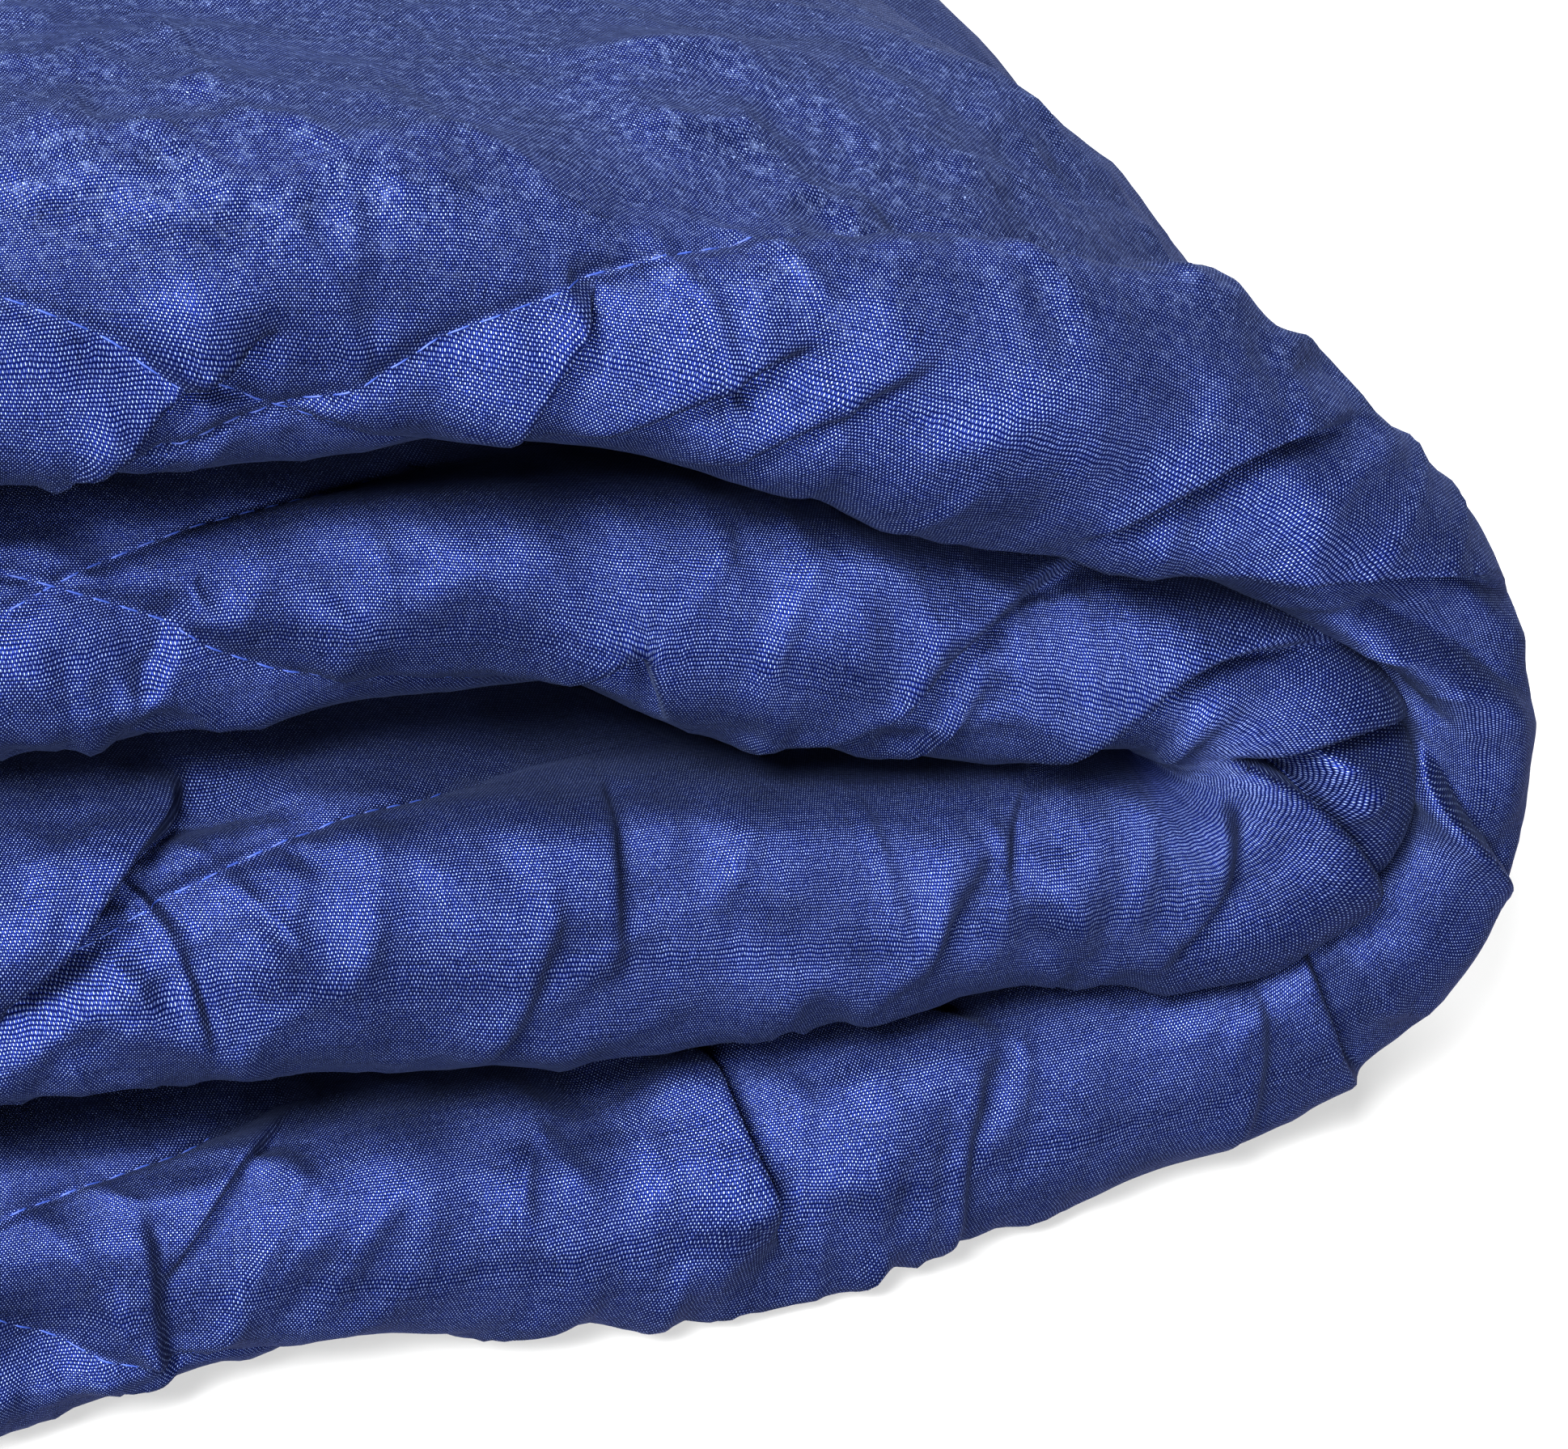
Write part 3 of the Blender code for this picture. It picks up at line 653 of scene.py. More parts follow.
def crease_distance(crease, u, v, reach):
    """Indices of the points near a crease, their share of the way along it, their signed distance
    from it, positive on its left, and the direction to its left."""
    curve = crease_curve(crease, 33)
    low = curve.min(axis=0) - reach
    high = curve.max(axis=0) + reach
    near = np.nonzero((u > low[0]) & (u < high[0]) & (v > low[1]) & (v < high[1]))[0]
    points = np.stack([u[near], v[near]], axis=1)
    steps = np.diff(curve, axis=0)
    best = np.full(len(near), 9.0)
    along = np.zeros(len(near))
    signed = np.zeros(len(near))
    left = np.zeros((len(near), 2))
    for k, step in enumerate(steps):
        size = np.linalg.norm(step)
        way = step / size
        offset = points - curve[k]
        t = np.clip(offset @ way / size, 0, 1)
        gap = offset - t[:, None] * step
        distance = np.linalg.norm(gap, axis=1)
        closer = distance < best
        best[closer] = distance[closer]
        along[closer] = (k + t[closer]) / len(steps)
        side = offset[:, 1] * way[0] - offset[:, 0] * way[1]
        signed[closer] = np.where(side[closer] < 0, -1, 1) * distance[closer]
        left[closer] = (-way[1], way[0])
    return near, along, signed, left


def end_fade(along, share=0.3):
    return eased_step(along / share) * eased_step((1 - along) / share)


def bell(distance, crisp):
    """1 at the middle and small from about 1.6 on, with a sharp or a round top."""
    soft = 0.04 + 0.9 * (1 - crisp)
    return np.exp(-1.9 * (np.sqrt(distance**2 + soft**2) - soft))


def creased(u, v):
    """Height of the creases in metres, and how far they slide the cloth along u and v."""
    lift = np.zeros(len(u))
    slide = np.zeros((len(u), 2))
    for tuck in TUCKS:
        reach = 2.5 * max(tuck.left, tuck.right) * MM
        near, along, signed, left = crease_distance(tuck, u, v, reach)
        fade = end_fade(along)
        distance = signed / MM
        high = eased_step(distance / tuck.soft + 0.5)
        rise = tuck.rise * np.exp(-1.7 * (np.maximum(distance, 0) / tuck.left)**1.3)
        fall = tuck.fall * np.exp(-1.7 * (np.maximum(-distance, 0) / tuck.right)**1.2)
        lift[near] += fade * MM * (high * rise - (1 - high) * fall)
        over = np.exp(-np.maximum(distance, 0) / LAP_REACH)
        lap = tuck.lap * eased_step(distance / tuck.soft + 0.6) * over
        slide[near] -= (fade * MM * lap)[:, None] * left
    for fold in FOLDS:
        reach = 2.2 * max(fold.left, fold.right) * MM
        near, along, signed, left = crease_distance(fold, u, v, reach)
        width = np.where(signed > 0, fold.left, fold.right) * MM
        lift[near] += fold.height * MM * end_fade(along, 0.35) * bell(signed / width, fold.crisp)
    for swelling in SWELLINGS:
        centre = np.array(swelling.centre) * MM
        along = (u - centre[0]) / (swelling.along * MM)
        across = (v - centre[1]) / (swelling.across * MM)
        lift += swelling.height * MM * np.exp(-1.3 * np.hypot(along, across)**2)
    return lift, slide


def ridges(seed, u, v, angle, length, width):
    """Sharp-topped wavy ridges that run at an angle, 0 to 1, in patches."""
    along = u * math.cos(angle) + v * math.sin(angle)
    across = v * math.cos(angle) - u * math.sin(angle)
    crest = 1 - 2.4 * abs(noise(seed, along, across, length, width))
    patch = eased_step(0.5 + 1.1 * noise(seed + 40, u, v, *CRUMPLE_PATCH))
    return np.maximum(crest, 0) * patch


def hills(rows, u, v):
    return sum(height * noise(seed, u, v, along, across) for seed, along, across, height in rows)


def undulation(u, v):
    """Unevenness of the filling, crumples of the cloth and puckers along the seams."""
    crumple = sum(height * ridges(seed, u, v, math.radians(angle), CRUMPLE_LENGTH, width)
                  for seed, angle, width, height in CRUMPLES)
    share = 1 - BEHIND_CALM * eased_step((abs(v) - 0.024) / 0.02)
    share = share * (1 - TURN_CALM * np.exp(-((u - TURN_CENTRE) / TURN_REACH)**4))
    pucker = np.zeros(len(u))
    for index, distance in enumerate(seam_distances(u, v)):
        along = u if index == 0 else u + 0.3
        pucker += np.exp(-(distance / PUCKER_REACH)**2) * noise(5 + index, along, v, *PUCKER_SIZE)
    uneven = hills(SWELLS, u, v) + (hills(WRINKLES, u, v) + crumple) * share + PUCKER * pucker
    return uneven * MM


def room(strip, u, v):
    """How far each point may stand out before it meets the layer beside it."""
    _, _, half, _, arc = strip.rails(u)
    side = abs(rounded(np.sin(np.clip(v / arc, -1, 1) * math.pi / 2)))
    along = (u - BULGE_CENTRE[0]) / BULGE_REACH[0]
    across = (v - BULGE_CENTRE[1]) / BULGE_REACH[1]
    pressed = CONTACT + 0.9 * half * (1 - side) + BULGE * np.exp(-along**2 - across**2)
    return np.where((u < OPEN_END) & (v > 0), OPEN_RISE, pressed)


# ---- Flat cloth ----

def lattice(zone, length, width):
    """Staggered points that fill a zone."""
    rows = np.arange(max(zone.v_from, -width), min(zone.v_to, width), zone.step * 0.87)
    columns = np.arange(zone.u_from, min(zone.u_to, length), zone.step)
    u, v = np.meshgrid(columns, rows)
    u = u + zone.step / 2 * (np.arange(len(rows)) % 2)[:, None]
    return np.stack([u.ravel(), v.ravel()], axis=1)


def thinned(points, spacing):
    """The points without those in the same cell as an earlier one."""
    keys = np.floor(points / spacing).astype(np.int64)
    _, first = np.unique(keys[:, 0] * 10**7 + keys[:, 1], return_index=True)
    return points[np.sort(first)]


def dense_creases():
    """Each crease that has rows of points beside it, with their offsets and half width in metres."""
    for tuck in TUCKS:
        yield tuck, np.array(TUCK_ROWS) * MM, TUCK_BAND * MM
    for fold in FOLDS:
        if fold.crisp >= CRISP:
            yield fold, np.array(FOLD_ROWS) * MM, FOLD_BAND * MM


def crease_rows():
    """Points along each tuck and crisp fold."""
    rows = []
    for crease, offsets, _ in dense_creases():
        count = int(math.dist(crease.start, crease.end) / 0.9) + 2
        curve = crease_curve(crease, count)
        left = left_of(curve)
        rows += [curve + offset * left for offset in offsets]
    return np.concatenate(rows)


def seam_line(family, index, reach):
    """Points (u, v) at distances along one seam; in the gathered cloth it stands more upright."""
    cloth = family.start + index * family.spacing + reach * math.cos(family.angle)
    u = cloth.copy()
    for _ in range(12):
        u = cloth - (cloth_length(u) - u)
    return np.stack([u, reach * math.sin(family.angle)], axis=1)


def seen_faces(u, v):
    """True on the front folds, and on the outward face up to OUTWARD_END."""
    return (abs(v) < FRONT_BAND) | ((u < OUTWARD_END) & (v > -0.03))


def seam_rows(length, width):
    """Points along every seam on the faces that can be seen, in rows beside it."""
    rows = []
    for family in SEAM_FAMILIES:
        across = np.array([-math.sin(family.angle), math.cos(family.angle)])
        for index in SEAM_NUMBERS:
            line = seam_line(family, index, np.arange(*SEAM_REACHES, SEAM_STEP))
            seen = (line[:, 0] < OUT_OF_SIGHT[0]) | (line[:, 0] > OUT_OF_SIGHT[1])
            front = seen & (abs(line[:, 1]) < 0.026)
            rows += [line[front] + offset * across for offset in FRONT_SEAM_ROWS]
            rows += [line[::3] + offset * across for offset in SEAM_ROWS]
    points = np.concatenate(rows)
    u, v = points[:, 0], points[:, 1]
    return points[(u > 0) & seen_faces(u, v) & (u < length) & (v < width)]


def boundary_points(length, width):
    """Points round the edge of the flat cloth, in order."""
    along = np.linspace(0, length, int(length / HEM_STEP) + 1)
    across = np.linspace(-width, width, int(2 * width / HEM_STEP) + 1)
    return np.concatenate([
        np.stack([along[:-1], np.full(len(along) - 1, -width)], axis=1),
        np.stack([np.full(len(across) - 1, length), across[:-1]], axis=1),
        np.stack([along[:0:-1], np.full(len(along) - 1, width)], axis=1),
        np.stack([np.zeros(len(across) - 1), across[:0:-1]], axis=1),
    ])


def hem_rows(length, width):
    """Rows of points just inside the edge, closer together towards it."""
    rows = []
    for inset in HEM_ROWS:
        along = np.arange(inset, length - inset, HEM_STEP)
        across = np.arange(-width + inset, width - inset, HEM_STEP)
        rows.append(np.stack([along, np.full(len(along), width - inset)], axis=1))
        rows.append(np.stack([along, np.full(len(along), inset - width)], axis=1))
        rows.append(np.stack([np.full(len(across), inset), across], axis=1))
        rows.append(np.stack([np.full(len(across), length - inset), across], axis=1))
    return np.concatenate(rows)


def inside_of(points, length, width, margin):
    u, v = points[:, 0], points[:, 1]
    return (u > margin) & (u < length - margin) & (abs(v) < width - margin)


def clear_of_creases(points):
    """True for points outside the bands that the crease rows fill."""
    clear = np.ones(len(points), bool)
    for crease, _, band in dense_creases():
        near, _, signed, _ = crease_distance(crease, points[:, 0], points[:, 1], band)
        clear[near[abs(signed) < band]] = False
    return clear


def beside_seams(points, gap):
    """True for points within gap of a seam on the faces that can be seen."""
    u, v = points[:, 0], points[:, 1]
    return seen_faces(u, v) & (np.minimum(*seam_distances(u, v)) < gap)


def outer_points(length, width):
    """Every point of the outer faces, flat."""
    groups = []
    for index, zone in enumerate(ZONES):
        points = lattice(zone, length, width)
        u, v = points[:, 0], points[:, 1]
        free = np.ones(len(points), bool)
        for finer in ZONES[:index]:
            half = zone.step / 2
            free &= ~((u > finer.u_from - half) & (u < finer.u_to + half)
                      & (v > finer.v_from - half) & (v < finer.v_to + half))
        gap = FINE_GAP if zone.step < FINE_STEP else COARSE_GAP
        points = points[free & ~beside_seams(points, gap)]
        groups.append(points[clear_of_creases(points)])
    middle = np.concatenate([crease_rows(), seam_rows(length, width), *groups])
    middle = middle[inside_of(middle, length, width, HEM_ROWS[-1] + HEM_MARGIN)]
    return thinned(np.concatenate([middle, hem_rows(length, width)]), NEAREST)


def slit_points(length, width):
    """Every point of the faces between the two thicknesses, flat."""
    plain = lattice(Zone(0, length, -width, width, SLIT_STEP), length, width)
    plain = plain[inside_of(plain, length, width, HEM_ROWS[-1] + 2 * HEM_MARGIN)]
    plain = plain[abs(plain[:, 1]) > 0.010]
    along = np.arange(0.01, length - 0.01, TIP_STEP)
    tips = np.concatenate([np.stack([along, np.full(len(along), v)], axis=1) for v in TIP_ROWS])
    tips = tips[inside_of(tips, length, width, HEM_ROWS[-1] + HEM_MARGIN)]
    return np.concatenate([plain, tips, hem_rows(length, width)])


def triangles(points):
    """Delaunay triangles of flat points."""
    found = delaunay_2d_cdt([Vector(p) for p in points.tolist()], [], [], 0, 1e-8)
    origin = np.array([ids[0] for ids in found[3]])
    faces = origin[np.array(found[2])]
    a, b, c = (points[faces[:, k]] for k in (0, 1, 2))
    area = (b[:, 0] - a[:, 0]) * (c[:, 1] - a[:, 1]) - (c[:, 0] - a[:, 0]) * (b[:, 1] - a[:, 1])
    faces = faces[abs(area) > 1e-12]
    flip = area[abs(area) > 1e-12] < 0
    faces[flip] = faces[flip][:, ::-1]
    return faces


# ---- Folded cloth ----

def face_normals(strip, u, v):
    """Outward directions of the plain outer face."""
    step = 0.0008
    along = strip.outside(u + step, v) - strip.outside(u - step, v)
    across = strip.outside(u, v + step) - strip.outside(u, v - step)
    return unit(np.cross(along, across))


def outer_surface(strip, u, v):
    """Points of the creased outer faces at flat places."""
    lift, slide = creased(u, v)
    limit = room(strip, u, v)
    raised = lift + undulation(u, v) * np.clip(limit / 0.004, 0.25, 1)
    raised = np.where(raised > 0, limit * np.tanh(raised / limit), raised)
    raised = raised - np.maximum(seam_hollow(u, v), strip.hem_draw(u, v))
    deepest = -DEEPEST * strip.ply(u)
    raised = np.where(raised < 0, deepest * np.tanh(raised / deepest), raised)
    moved_u = u + slide[:, 0]
    moved_v = v + slide[:, 1]
    points = strip.outside(moved_u, moved_v) + raised[:, None] * face_normals(strip, moved_u, moved_v)
    above = points[:, 2] - (FLOOR_GAP + FLOOR_EASE)
    pressed = FLOOR_GAP + FLOOR_EASE * np.exp(np.minimum(above, 0) / FLOOR_EASE)
    points[:, 2] = np.where(above < 0, pressed, points[:, 2])
    return points


def inner_surface(strip, u, v):
    """Points of the faces between the two thicknesses at flat places."""
    return strip.between(u, v, np.maximum(INNER_DRAW * seam_hollow(u, v), strip.hem_draw(u, v)))


def flat_cloth(length, width):
    """Flat points, triangles and number of outer points of both faces, joined along their edge."""
    edge = boundary_points(length, width)
    outer = np.concatenate([edge, outer_points(length, width)])
    inner = np.concatenate([edge, slit_points(length, width)])
    renumbered = np.r_[np.arange(len(edge)), np.arange(len(inner) - len(edge)) + len(outer)]
    faces = np.concatenate([triangles(outer), renumbered[triangles(inner)[:, ::-1]]])
    return np.concatenate([outer, inner[len(edge):]]), faces, len(outer)


def folded_cloth(strip):
    """The quilt's closed surface: points, triangles and flat place of each point."""
    width = float(strip.edge(np.array([0.5]))[0])
    flat, faces, outer_count = flat_cloth(strip.length, width)

    # Towards the hem, v is stretched a little so that the edge lies at the same depth all along.
    stretch = strip.edge(flat[:, 0]) - width
    share = np.clip((abs(flat[:, 1]) - 0.2) / (width - 0.2), 0, 1)
    u = flat[:, 0]
    v = flat[:, 1] + np.sign(flat[:, 1]) * stretch * share
    distance = strip.to_hem(u, v)
    near = distance < HEM_ROUND
    on_outer = np.arange(len(flat)) < outer_count
    own = np.zeros((len(flat), 3))
    other = np.zeros((len(flat), 3))
    for surface, part in ((outer_surface, on_outer), (inner_surface, ~on_outer)):
        own[part] = surface(strip, u[part], v[part])
        swap = near & ~part
        other[swap] = surface(strip, u[swap], v[swap])
    other[~near] = own[~near]

    # At the hem the two faces meet in a round side.
    t = np.clip(distance / HEM_ROUND, 0, 1)
    round_side = np.sqrt(np.maximum(1 - (1 - t)**2, 0))
    middle = (own + other) / 2
    points = middle + (own - middle) * round_side[:, None]
    return points, faces, np.stack([cloth_length(u), v], axis=1)


def mesh_object(name, points, faces, flat=None):
    mesh = bpy.data.meshes.new(name)
    mesh.from_pydata(points.tolist(), [], faces.tolist())
    if flat is not None:
        layer = mesh.uv_layers.new(name="flat_cloth")
        corners = np.empty(len(mesh.loops), np.int32)
        mesh.loops.foreach_get("vertex_index", corners)
        layer.data.foreach_set("uv", flat[corners].astype(np.float32).ravel())
    mesh.polygons.foreach_set("use_smooth", np.ones(len(mesh.polygons), bool))
    mesh.update()
    piece = bpy.data.objects.new(name, mesh)
    bpy.context.scene.collection.objects.link(piece)
    return piece


# ---- Stitches ----

STITCH_PITCH = 0.0031
STITCH_LENGTH = 0.0023
STITCH_RADIUS = 0.00014
STITCH_SIDES = 5

# Rings round a stitch: share of its length, and height and size in radii.
STITCH_RINGS = ((0.0, -0.25, 0.35), (0.2, 0.5, 0.9), (0.5, 0.8, 1.0), (0.8, 0.5, 0.9), (1.0, -0.25, 0.35))


def stitch_places(strip):
    """Start and end of every stitch on the flat cloth, where the cloth can be seen."""
    reach = np.arange(*SEAM_REACHES, STITCH_PITCH)
    lines = [(family, index) for family in SEAM_FAMILIES for index in SEAM_NUMBERS]
    starts = np.concatenate([seam_line(*line, reach) for line in lines])
    ends = np.concatenate([seam_line(*line, reach + STITCH_LENGTH) for line in lines])
    width = float(strip.edge(np.array([0.5]))[0])
    u, v = starts[:, 0], starts[:, 1]
    inside = (u > 0.006) & (u < strip.length - 0.006) & (v < width - 0.008)
    shown = inside & ((abs(v) < FRONT_BAND) | ((u < 0.86) & (v > -0.026)))
    return starts[shown], ends[shown]


def stitch_points(strip):
    """Points of every stitch, ring by ring."""
    starts, ends = stitch_places(strip)
    rings = []
    for share, lift, size in STITCH_RINGS:
        flat = starts + (ends - starts) * share
        normal = face_normals(strip, flat[:, 0], flat[:, 1])
        centre = outer_surface(strip, flat[:, 0], flat[:, 1]) + normal * STITCH_RADIUS * lift
        rings.append((centre, normal, size))
    way = unit(rings[-1][0] - rings[0][0])
    points = []
    for centre, normal, size in rings:
        beside = unit(np.cross(way, normal))
        for side in range(STITCH_SIDES):
            turn = 2 * math.pi * side / STITCH_SIDES
            out = math.cos(turn) * normal + math.sin(turn) * beside
            points.append(centre + STITCH_RADIUS * size * out)
    return np.stack(points, axis=1)


def stitches(strip):
    """Short bent threads lying in the seams."""
    points = stitch_points(strip)
    count, each = points.shape[:2]
    last = each - STITCH_SIDES
    faces = []
    for a in range(last):
        b = a + 1 if (a + 1) % STITCH_SIDES else a + 1 - STITCH_SIDES
        faces.append((a, b, b + STITCH_SIDES))
        faces.append((a, b + STITCH_SIDES, a + STITCH_SIDES))
    for side in range(1, STITCH_SIDES - 1):
        faces.append((0, side + 1, side))
        faces.append((last, last + side, last + side + 1))
    faces = np.array(faces)[None] + (np.arange(count) * each)[:, None, None]
    return mesh_object("quilt_stitches", points.reshape(-1, 3), faces.reshape(-1, 3))


# ---- Materials ----

WARP_PITCH = 0.000195        # spacing of the threads that run across the strip
WEFT_PITCH = 0.00031         # spacing of the threads that run along it
THREAD_HEIGHT = 0.00006
RUMPLE_HEIGHT = 0.0003
PAINTED_GAP_SHADE_BLUE = (0.0008, 0.0020, 0.027, 1)        # painted shade between the threads
YARN_BLUE = (0.0060, 0.0130, 0.090, 1)       # sides of the threads
PAINTED_CREST_HIGHLIGHT_BLUE = (0.225, 0.290, 0.460, 1)        # painted highlight on the tops of the threads
# Lint on the top face; its pale specks are partly painted glints of the weave.
LINT_AND_GLINT_BLUE = (0.200, 0.260, 0.460, 1)
EDGE_BLUE = (0.10, 0.16, 0.50, 1.0)          # gloss seen at a low angle
BLOOM_BLUE = (0.45, 0.58, 1.0, 1.0)          # sheen of the fibres that stand up


class Nodes:
    """Short ways to add and link shader nodes."""

    def __init__(self, material):
        self.tree = material.node_tree

    def add(self, kind, inputs=(), **settings):
        node = self.tree.nodes.new("ShaderNode" + kind)
        for name, value in settings.items():
            setattr(node, name, value)
        for key, value in dict(inputs).items():
            if isinstance(value, bpy.types.NodeSocket):
                self.tree.links.new(value, node.inputs[key])
            else:
                node.inputs[key].default_value = value
        return node

    def math(self, operation, *values):
        return self.add("Math", dict(enumerate(values)), operation=operation).outputs[0]

    def plus(self, first, second):
        return self.math("ADD", first, second)

    def minus(self, first, second):
        return self.math("SUBTRACT", first, second)

    def times(self, first, second):
        return self.math("MULTIPLY", first, second)

    def noise(self, place, scale, detail, **others):
        inputs = {"Vector": place, "Scale": scale, "Detail": detail, **others}
        return self.add("TexNoise", inputs).outputs[0]

    def random(self, number):
        return self.add("TexWhiteNoise", {"W": number}, noise_dimensions="1D").outputs[0]

    def split(self, vector):
        return self.add("SeparateXYZ", {0: vector}).outputs

    def pair(self, first, second):
        return self.add("CombineXYZ", {0: first, 1: second}).outputs[0]

    def blend(self, share, first, second):
        return self.add("Mix", {0: share, 2: first, 3: second}, data_type="FLOAT").outputs[0]

    def blend_colour(self, share, first, second):
        return self.add("Mix", {0: share, 6: first, 7: second}, data_type="RGBA").outputs[2]


def new_material(name, **values):
    """A material, its nodes and a function that links sockets to its shader; values are set on it."""
    material = bpy.data.materials.new(name)
    material.use_nodes = True
    nodes = Nodes(material)
    shader = material.node_tree.nodes["Principled BSDF"]
    for key, value in values.items():
        shader.inputs[key.replace("_", " ")].default_value = value

    def link(socket, key):
        nodes.tree.links.new(socket, shader.inputs[key])

    return material, nodes, link


def lint_and_glint_cover(nodes, place):
    """How much of the cloth is hidden by specks and fuzz of lint, which settle on the top; the pale
    specks are partly painted glints of the weave there.
    """
    flat = nodes.split(place)
    top = nodes.times(nodes.minus(0.42, flat[0]), 12.0)
    back = nodes.times(flat[1], 30.0)
    on_top_face = nodes.math("MINIMUM", nodes.math("MINIMUM", top, back), 1.0)
    on_top_face = nodes.math("MAXIMUM", on_top_face, 0.05)
    fuzz = nodes.noise(place, 620.0, 5.0, Roughness=0.85)
    fuzz = nodes.math("MAXIMUM", nodes.times(nodes.minus(fuzz, 0.50), 1.6), 0.0)
    cells = nodes.add("TexVoronoi", {"Vector": place, "Scale": 560.0}, voronoi_dimensions="2D")
    size = nodes.times(nodes.split(cells.outputs["Color"])[0], 0.060)
    speck = nodes.math("LESS_THAN", cells.outputs["Distance"], size)
    cover = nodes.times(nodes.math("MAXIMUM", fuzz, speck), on_top_face)
    return nodes.math("MINIMUM", nodes.times(cover, 0.50), 1.0)


def weave(nodes, place):
    """Height, shade, grain and glint of the threads of a plain weave, from 0 to about 1."""
    drift = nodes.times(nodes.minus(nodes.noise(place, 300.0, 3.0), 0.5), 2.0)
    flat = nodes.split(place)
    a = nodes.plus(nodes.math("DIVIDE", flat[0], WARP_PITCH), drift)
    b = nodes.plus(nodes.math("DIVIDE", flat[1], WEFT_PITCH), drift)
    warp = nodes.math("FLOOR", a)
    weft = nodes.math("FLOOR", b)
    weft_over = nodes.math("FLOORED_MODULO", nodes.plus(warp, weft), 2.0)
    arch_a = nodes.math("ABSOLUTE", nodes.math("SINE", nodes.times(a, math.pi)))
    arch_b = nodes.math("ABSOLUTE", nodes.math("SINE", nodes.times(b, math.pi)))
    weft_crest = nodes.times(nodes.math("POWER", arch_b, 0.9), nodes.math("POWER", arch_a, 0.8))
    warp_crest = nodes.times(nodes.times(arch_a, arch_b), 0.42)
    thread = nodes.blend(weft_over, warp_crest, weft_crest)

    # Every thread has its own shade, and the yarn is uneven along its length.
    shade = nodes.blend(weft_over, nodes.random(warp), nodes.random(weft))
    grain = nodes.noise(nodes.pair(nodes.times(a, 0.31), nodes.times(b, 0.55)), 1.0, 1.0)
    # Each crossing's glint sets how bright the painted highlight on its crest is.
    crossing = nodes.pair(warp, weft)
    glint = nodes.add("TexWhiteNoise", {"Vector": crossing}, noise_dimensions="2D").outputs[0]
    return thread, shade, grain, nodes.plus(nodes.times(glint, 0.9), 0.55)


def cloth_material():
    """Plain-woven blue cotton: painted highlights on the weft crests, painted shade in the gaps, uneven
    dye, and some lint that is partly painted glints.
    """
    material, nodes, link = new_material(
        "quilt_cloth_blue", Anisotropic=0.65, Metallic=0.65, Specular_IOR_Level=0.05,
        Specular_Tint=EDGE_BLUE, Sheen_Weight=0.015, Sheen_Roughness=0.45, Sheen_Tint=BLOOM_BLUE)
    place = nodes.add("UVMap", uv_map="flat_cloth").outputs[0]
    thread, shade, grain, glint = weave(nodes, place)
    patch = nodes.noise(place, 110.0, 6.0)
    tone = nodes.plus(nodes.times(shade, 0.30), nodes.times(grain, 0.9))
    tone = nodes.plus(tone, nodes.times(patch, 0.8))
    tone = nodes.times(nodes.plus(tone, -0.05), 0.44)
    # Painted shade: the colour darkens from the yarn towards the gaps between the threads.
    yarn = nodes.blend_colour(nodes.times(thread, 2.2), PAINTED_GAP_SHADE_BLUE, YARN_BLUE)
    # Painted highlight: the tops of the threads are lightened, each crossing by its own glint.
    crest = nodes.times(nodes.math("POWER", thread, 3.0), glint)
    colour = nodes.blend_colour(crest, yarn, PAINTED_CREST_HIGHLIGHT_BLUE)
    toned = nodes.add("VectorMath", {0: colour, "Scale": tone}, operation="SCALE").outputs[0]
    # Pale lint specks and fuzz on the top face, partly painted glints, over the weave's colour.
    link(nodes.blend_colour(lint_and_glint_cover(nodes, place), toned, LINT_AND_GLINT_BLUE), "Base Color")
    link(nodes.plus(nodes.times(grain, -0.20), 0.58), "Roughness")

    rumple = nodes.noise(place, 150.0, 3.0, Distortion=0.6)
    soft = nodes.add("Bump", {"Strength": 1.0, "Distance": RUMPLE_HEIGHT, "Height": rumple})
    relief = nodes.add("Bump", {"Strength": 1.0, "Distance": THREAD_HEIGHT, "Height": thread,
                                "Normal": soft.outputs[0]})
    link(relief.outputs[0], "Normal")
    link(nodes.add("Tangent", direction_type="UV_MAP", uv_map="flat_cloth").outputs[0], "Tangent")
    return material


def stitch_material():
    """Dark blue thread with an uneven twist."""
    material, nodes, link = new_material("quilt_thread", Roughness=0.5, Specular_IOR_Level=0.15)
    place = nodes.add("NewGeometry").outputs["Position"]
    twist = nodes.noise(place, 900.0, 2.0)
    link(nodes.blend_colour(twist, (0.004, 0.008, 0.042, 1), (0.014, 0.028, 0.110, 1)), "Base Color")
    return material


def floor_material():
    """Pale studio floor, lit a little from within so that it comes out plain."""
    material, nodes, link = new_material(
        "studio_floor", Roughness=0.9, Emission_Color=(1, 1, 1, 1), Emission_Strength=0.45)
    place = nodes.add("NewGeometry").outputs["Position"]
    mottle = nodes.noise(place, 3.0, 2.0)
    link(nodes.blend_colour(mottle, (0.080, 0.080, 0.080, 1), (0.088, 0.088, 0.088, 1)), "Base Color")
    return material


# ---- Studio ----

CAMERA_AZIMUTH = -20
CAMERA_ELEVATION = 30
CAMERA_DISTANCE = 0.4576
CAMERA_LENS = 100.0
AIM_FROM_RIGHT = 0.094       # the camera's aim, from the right side, front and floor of the quilt
AIM_FROM_FRONT = 0.005
AIM_HEIGHT = 0.075

Light = namedtuple("Light", "name azimuth elevation distance size power")
LIGHTS = (
    Light("key", -42, 45, 2.5, 0.9, 550),
    Light("front", -22, 10, 2.5, 0.9, 285),
    Light("overhead", 165, 62, 2.0, 1.0, 115),
)
WORLD_LIGHT = 0.03
FLOOR_HALF = 12              # half width of the floor
FLOOR_DROP = 0.0002          # how far the floor lies below the quilt


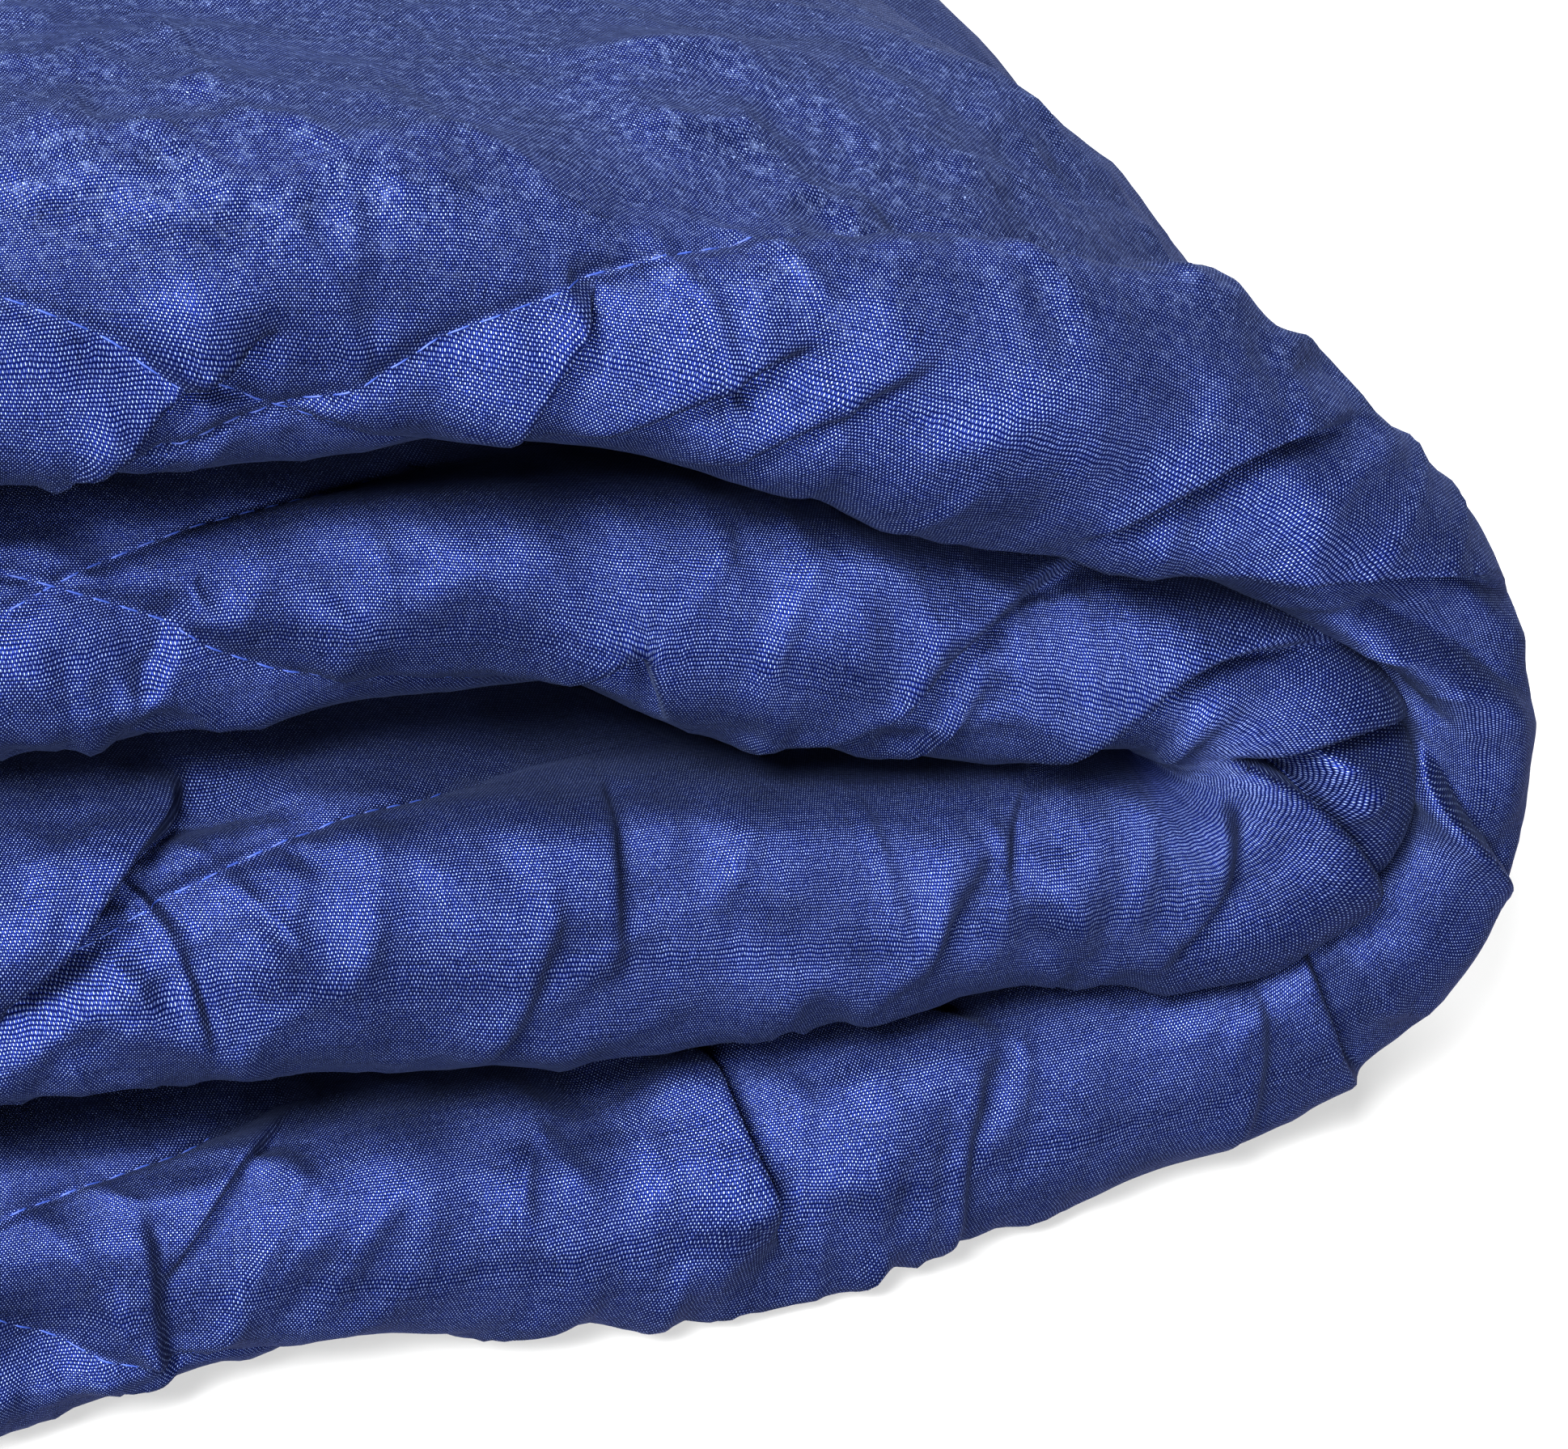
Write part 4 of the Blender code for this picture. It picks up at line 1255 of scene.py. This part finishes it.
def direction(azimuth, elevation):
    """From the object towards a camera or light at these angles in degrees."""
    a, e = math.radians(azimuth), math.radians(elevation)
    return Vector((math.sin(a) * math.cos(e), -math.cos(a) * math.cos(e), math.sin(e)))


def look(name, data, aim, azimuth, elevation, distance):
    """A camera or light that looks at the aim from these angles."""
    looker = bpy.data.objects.new(name, data)
    back = direction(azimuth, elevation)
    looker.location = aim + back * distance
    looker.rotation_mode = "QUATERNION"
    looker.rotation_quaternion = (-back).to_track_quat("-Z", "Y")
    bpy.context.scene.collection.objects.link(looker)
    return looker


def add_camera(aim):
    data = bpy.data.cameras.new("camera")
    data.lens = CAMERA_LENS
    data.sensor_width = 36.0
    data.clip_start = 0.01
    data.clip_end = 20.0
    camera = look("camera", data, aim, CAMERA_AZIMUTH, CAMERA_ELEVATION, CAMERA_DISTANCE)
    bpy.context.scene.camera = camera


def add_light(light, aim):
    data = bpy.data.lights.new(light.name, "AREA")
    data.size = light.size
    data.energy = light.power
    look(light.name, data, aim, light.azimuth, light.elevation, light.distance)


def add_world():
    world = bpy.data.worlds.new("studio")
    world.use_nodes = True
    background = world.node_tree.nodes["Background"]
    background.inputs[0].default_value = (1.0, 1.0, 1.0, 1)
    background.inputs[1].default_value = WORLD_LIGHT
    bpy.context.scene.world = world


def add_floor():
    points = np.array([(-1, -1, 0), (1, -1, 0), (1, 1, 0), (-1, 1, 0)]) * FLOOR_HALF
    floor = mesh_object("studio_floor", points - [0, 0, FLOOR_DROP], np.array([(0, 1, 2), (0, 2, 3)]))
    floor.data.materials.append(floor_material())


# ---- Scene ----

def build_quilt(cad_low):
    """The filled cloth and its stitches."""
    strip = Strip(cad_low)
    quilt = mesh_object("quilt_cloth", *folded_cloth(strip))
    quilt.data.materials.append(cloth_material())
    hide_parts("quilt")
    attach(quilt, "root")
    thread = stitches(strip)
    thread.data.materials.append(stitch_material())
    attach(thread, "root")


def build_studio(cad_low, cad_high):
    """The camera, the floor and the lights round the quilt."""
    aim = Vector((cad_high[0] - AIM_FROM_RIGHT, cad_low[1] + AIM_FROM_FRONT, AIM_HEIGHT))
    add_camera(aim)
    add_world()
    add_floor()
    for light in LIGHTS:
        add_light(light, aim)
    bpy.context.scene.view_settings.view_transform = "Standard"
    bpy.context.scene.view_settings.look = "Medium High Contrast"


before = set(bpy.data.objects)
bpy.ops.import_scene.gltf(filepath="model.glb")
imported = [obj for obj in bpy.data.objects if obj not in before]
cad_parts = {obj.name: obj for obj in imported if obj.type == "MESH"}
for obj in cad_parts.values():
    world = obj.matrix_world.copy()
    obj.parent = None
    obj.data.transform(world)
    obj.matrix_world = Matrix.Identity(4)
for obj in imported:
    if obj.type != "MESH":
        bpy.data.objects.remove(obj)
cad_low, cad_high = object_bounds()
build_quilt(cad_low)
build_studio(cad_low, cad_high)
